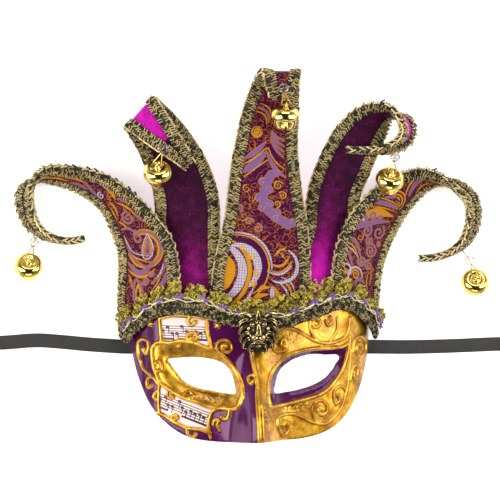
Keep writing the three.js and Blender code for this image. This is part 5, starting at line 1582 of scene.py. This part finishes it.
antique, tree, shader = material("antique_brass")
here = on_piece(tree)
fleck = noise(tree, here, 420.0, 4.0)
uneven = sums(tree, "MULTIPLY", sums(tree, "SUBTRACT", fleck, 0.5), 0.45)
share = sums(tree, "ADD", attribute(tree, "wear_and_highlight"), uneven)
feed(tree, shader, {
    "Base Color": ramp(tree, share, [(0.46, (0.007, 0.006, 0.004)), (0.66, (0.13, 0.08, 0.026)),
                                     (0.84, (0.86, 0.62, 0.26))]),
    "Metallic": rescaled(tree, share, (0.35, 0.95), 0.3, 0.7),
    "Roughness": rescaled(tree, share, (0.55, 0.24), 0.3, 0.8),
    "Normal": bump(tree, fleck, 0.0002, 0.4),
})

lion = piece("lion_head_boss", lion_points + LION_AT, lion_faces, antique)
remesh = lion.modifiers.new("one casting", "REMESH")
remesh.mode = "VOXEL"
remesh.voxel_size = 0.00027
remesh.use_smooth_shade = True
relax = lion.modifiers.new("softened", "SMOOTH")
relax.factor = 0.5
relax.iterations = 2
baked = baked_mesh(lion)
lion.modifiers.clear()
lion.data = baked
# wear and painted highlight: how far a place stands out of its neighbourhood
spots = np.array([v.co for v in baked.vertices])
normals = np.array([v.normal for v in baked.vertices])
edges = np.array([e.vertices for e in baked.edges])
blurred = spots.copy()
BLUR_ROUNDS = 34
for _ in range(BLUR_ROUNDS):
    total = np.zeros_like(blurred)
    number = np.zeros(len(blurred))
    for a, b in ((0, 1), (1, 0)):
        np.add.at(total, edges[:, a], blurred[edges[:, b]])
        np.add.at(number, edges[:, a], 1)
    blurred = 0.4 * blurred + 0.6 * total / number[:, None]
proud = np.einsum("ij,ij->i", spots - blurred, normals) * 1000
# places turned up towards the light are made brighter: painted light
wear_and_highlight = np.clip(0.5 + proud * 2.6, 0, 1) * np.clip(0.45 + 0.6 * normals[:, 2], 0, 1)
# the mane is kept dark beside the face and given painted highlights again at its tips
MANE_REACHES = [7.5, 9, 11.5, 13.5]
MANE_SHINE = [1, 0.66, 0.7, 0.85]
local = spots * 1000 - SHIFT - LION_AT
wear_and_highlight *= np.interp(np.hypot(local[:, 0], local[:, 1] + 1), MANE_REACHES, MANE_SHINE)
set_marks(baked, {"wear_and_highlight": wear_and_highlight})
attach(lion, "root")
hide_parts("lion_head")


# Pendants. Each horn tip carries a cut glass bead, a triangle of brass wire and a pressed brass bell:
# a crown with a hollow round its wire loop, a rolled lip, and a lower cup cut into four petals.
# each: where the bead and the bell hang, and which way the bell's loop points
PENDANTS = {
    "outer_left": ([-152.8, 8.6, 8.5], [-156.6, -9, 10.5], [0.05, 0.62, 0.78]),
    "inner_left": ([-64.1, 72.6, 54.2], [-67.2, 56, 40.2], [-0.1, 0.66, 0.75]),
    "centre": ([17.1, 113.6, 68.2], [19.5, 94.6, 55], [0.05, 0.95, 0.3]),
    "inner_right": ([98.6, 68, 41], [95.4, 51.5, 37], [0.1, 0.7, 0.7]),
    "outer_right": ([158, -4.4, 8.5], [161.6, -20.5, 10.5], [-0.05, 0.5, 0.86]),
}
BELL = 10.2
BEAD = 3.6
WIRE = 0.45
STITCH = 0.32
LOOP_RADIUS = 2.3
LOOP_WIRE = 0.66
LOOP_RISE = 0.82      # where the loop sits over the bell's middle, in bell radii
SHELL = 0.92          # the bell's inside, as a share of its outside

polished, tree, shader = material("polished_brass")
here = on_piece(tree)
smudge = noise(tree, here, 90.0, 4.0)
feed(tree, shader, {
    "Base Color": blend(tree, smudge, (0.82, 0.59, 0.14, 1), (0.90, 0.71, 0.23, 1)), "Metallic": 1.0,
    "Roughness": rescaled(tree, smudge, (0.08, 0.2)), "Normal": bump(tree, smudge, 0.0002, 0.25),
})

crystal, tree, shader = material("cut_glass")
feed(tree, shader, {"Base Color": (0.80, 0.79, 0.76, 1), "Roughness": 0.02, "IOR": 1.55,
                    "Transmission Weight": 1.0})

# the bell's outside from its crown to its foot: radius and height, in bell radii
PROFILE = [
    (0.0, 0.80), (0.10, 0.79), (0.16, 0.73), (0.20, 0.63), (0.27, 0.57), (0.36, 0.575), (0.46, 0.63),
    (0.58, 0.655), (0.71, 0.62), (0.83, 0.53), (0.93, 0.38), (0.985, 0.20), (1.0, 0.06), (0.985, -0.02),
    (0.94, -0.06), (0.87, -0.075), (0.83, -0.10), (0.82, -0.2), (0.80, -0.42), (0.75, -0.62),
    (0.66, -0.76), (0.52, -0.825),
    (0.34, -0.845), (0.16, -0.845), (0.0, -0.845),
]
AROUND = 48
PETAL_FOLD = 0.055    # how deep the lower cup is folded between its four petals


def bell_skin(profile):
    """One surface of a bell, its loop upward along Y, with its lower cup folded into petals."""
    angle = ring_angles(AROUND)
    rows = []
    for radius, height in profile[1:-1]:
        below = max(0.0, min(1.0, (-0.06 * BELL - height) / 3))
        fold = radius * (1 - PETAL_FOLD * below * (0.5 + 0.5 * np.cos(4 * angle)) ** 3)
        rows.append(np.column_stack([fold * np.cos(angle), 0 * angle + height, fold * np.sin(angle)]))
    spots = np.vstack([*rows, [[0, profile[0][1], 0], [0, profile[-1][1], 0]]])
    last, foot = len(spots), (len(rows) - 1) * AROUND
    faces = [(row + k, row + AROUND + k, row + AROUND + (k + 1) % AROUND, row + (k + 1) % AROUND)
             for row in range(0, foot, AROUND) for k in range(AROUND)]
    faces += [(last - 2, k, (k + 1) % AROUND) for k in range(AROUND)]
    faces += [(last - 1, foot + (k + 1) % AROUND, foot + k) for k in range(AROUND)]
    return spots, faces


def bell_mesh():
    """A bell's shell, its outside and its hollow."""
    outer = np.array(PROFILE) * BELL
    hollow, hollow_faces = bell_skin(outer * SHELL - [0, 0.1])
    return merged([bell_skin(outer), (hollow, [f[::-1] for f in hollow_faces])])


def cutter(half_x, half_y, half_z, y):
    """A box that cuts a slot."""
    signs = [(sx, sy, sz) for sx in (-1, 1) for sy in (-1, 1) for sz in (-1, 1)]
    spots = np.array(signs) * [half_x, half_y, half_z] + [0, y, 0]
    faces = [(0, 1, 3, 2), (4, 6, 7, 5), (0, 4, 5, 1), (2, 3, 7, 6), (0, 2, 6, 4), (1, 5, 7, 3)]
    return spots, faces


def bare_object(name, spots, faces):
    """A mesh about the origin, to cut or to be cut."""
    mesh = bpy.data.meshes.new(name)
    mesh.from_pydata((np.asarray(spots) / 1000).tolist(), [], [list(f) for f in faces])
    made = bpy.data.objects.new(name, mesh)
    bpy.context.collection.objects.link(made)
    return made


SLOT_HALF = (7.4, 2.6, 0.75)      # half a slot's length, depth and width
SLOT_AT = -7.6
blank = bare_object("bell_blank", *bell_mesh())
slot = bare_object("bell_slot", *cutter(*SLOT_HALF, SLOT_AT))
cross_slot = bare_object("bell_cross_slot", *cutter(*SLOT_HALF[::-1], SLOT_AT))
for tool in (slot, cross_slot):
    cut = blank.modifiers.new("slot", "BOOLEAN")
    cut.operation = "DIFFERENCE"
    cut.object = tool
    cut.solver = "EXACT"
bell_shape = baked_mesh(blank)
bell_points = np.array([v.co for v in bell_shape.vertices]) * 1000
bell_faces = [tuple(p.vertices) for p in bell_shape.polygons]
for tool in (blank, slot, cross_slot):
    bpy.data.objects.remove(tool)


def tube(line, radius, around=10, closed=False):
    """A round wire along a line."""
    line = np.asarray(line, float)
    if closed:
        along = unit(np.roll(line, -1, axis=0) - np.roll(line, 1, axis=0))
    else:
        along = unit(np.gradient(line, axis=0))
    normal = unit(np.cross(along, unit(np.cross(line[len(line) // 3] - line[0], line[-2] - line[0]))))
    return loft(rings_about(line, radius, normal, np.cross(along, normal), around), closed_path=closed)


def turned_axes(up, hint):
    """Rows that turn x, y, z into side, up and their cross."""
    up = unit(np.asarray(up, float))
    side = unit(hint - up * (hint @ up))
    return np.array([side, up, np.cross(side, up)])


# the bead's cut, from end to end: radius and height, in bead radii
FACETS = [(0.0, -0.94), (0.42, -0.9), (0.78, -0.62), (1.0, -0.18), (1.0, 0.18), (0.78, 0.62), (0.42, 0.9),
          (0.0, 0.94)]
FACETS_AROUND = 10

for name, (bead_at, bell_at, loop_way) in PENDANTS.items():
    bead_at, bell_at, loop_way = (np.array(v, float) for v in (bead_at, bell_at, loop_way))
    hint = unit(np.cross(bead_at - bell_at, [0, 0, 1.0]))
    axes = turned_axes(loop_way, hint)
    angle = ring_angles(36)
    loop = tube(np.column_stack([0 * angle, LOOP_RISE * BELL + LOOP_RADIUS * np.cos(angle),
                                 LOOP_RADIUS * np.sin(angle)]), LOOP_WIRE, 10, True)
    spots, faces = merged([(bell_points, bell_faces), loop])
    bell = outward(piece(f"{name}_jingle_bell", spots @ axes + bell_at, faces, polished))
    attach(bell, "root")
    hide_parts(f"{name}_bell")

    # a triangle of wire from the bell's loop to the bead
    foot = bell_at + unit(loop_way) * (LOOP_RISE * BELL + LOOP_RADIUS * 0.35)
    reach = bead_at - foot
    top = np.linalg.norm(reach) - BEAD - WIRE - 0.1
    frame_axes = turned_axes(reach, hint)
    outline = np.array([[-3.0, 0.8], [-2.3, 0.15], [0, 0], [2.3, 0.15], [3.0, 0.8], [1.9, top * 0.42],
                        [0.75, top * 0.86], [0, top], [-0.75, top * 0.86], [-1.9, top * 0.42]])
    wire_line = smooth_rows(np.column_stack([outline, 0 * outline[:, 0]]), 70, True)
    wire_points, wire_faces = tube(wire_line, WIRE, 8, True)
    # the wire runs on through the bead and is sewn to the nearest edge of the horn
    braid = bpy.data.objects[f"{name}_horn_braid_cord"]
    braid_points = np.array([v.co for v in braid.data.vertices]) * 1000 - SHIFT
    sewn = braid_points[np.linalg.norm(braid_points - bead_at, axis=1).argmin()]
    halfway = (bead_at + sewn) / 2 - [0, 0, 0.3]
    stitch = tube(smooth_rows([bead_at, halfway, sewn], 12), STITCH, 8)
    shape = merged([(wire_points @ frame_axes + foot, wire_faces), stitch])
    link = outward(piece(f"{name}_wire_link", *shape, polished))
    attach(link, "root")
    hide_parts(f"{name}_link")

    rows = []
    for k, (radius, level) in enumerate(FACETS[1:-1]):
        angle = (np.arange(FACETS_AROUND) + 0.5 * (k % 2)) * 2 * math.pi / FACETS_AROUND
        row = np.column_stack([radius * np.cos(angle), 0 * angle + level, radius * np.sin(angle)])
        rows.append(BEAD * row)
    spots, faces = loft(np.stack(rows))
    bead = outward(piece(f"{name}_glass_bead", spots @ frame_axes + bead_at, faces, crystal, smooth=False))
    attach(bead, "root")
    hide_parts(f"{name}_bead")
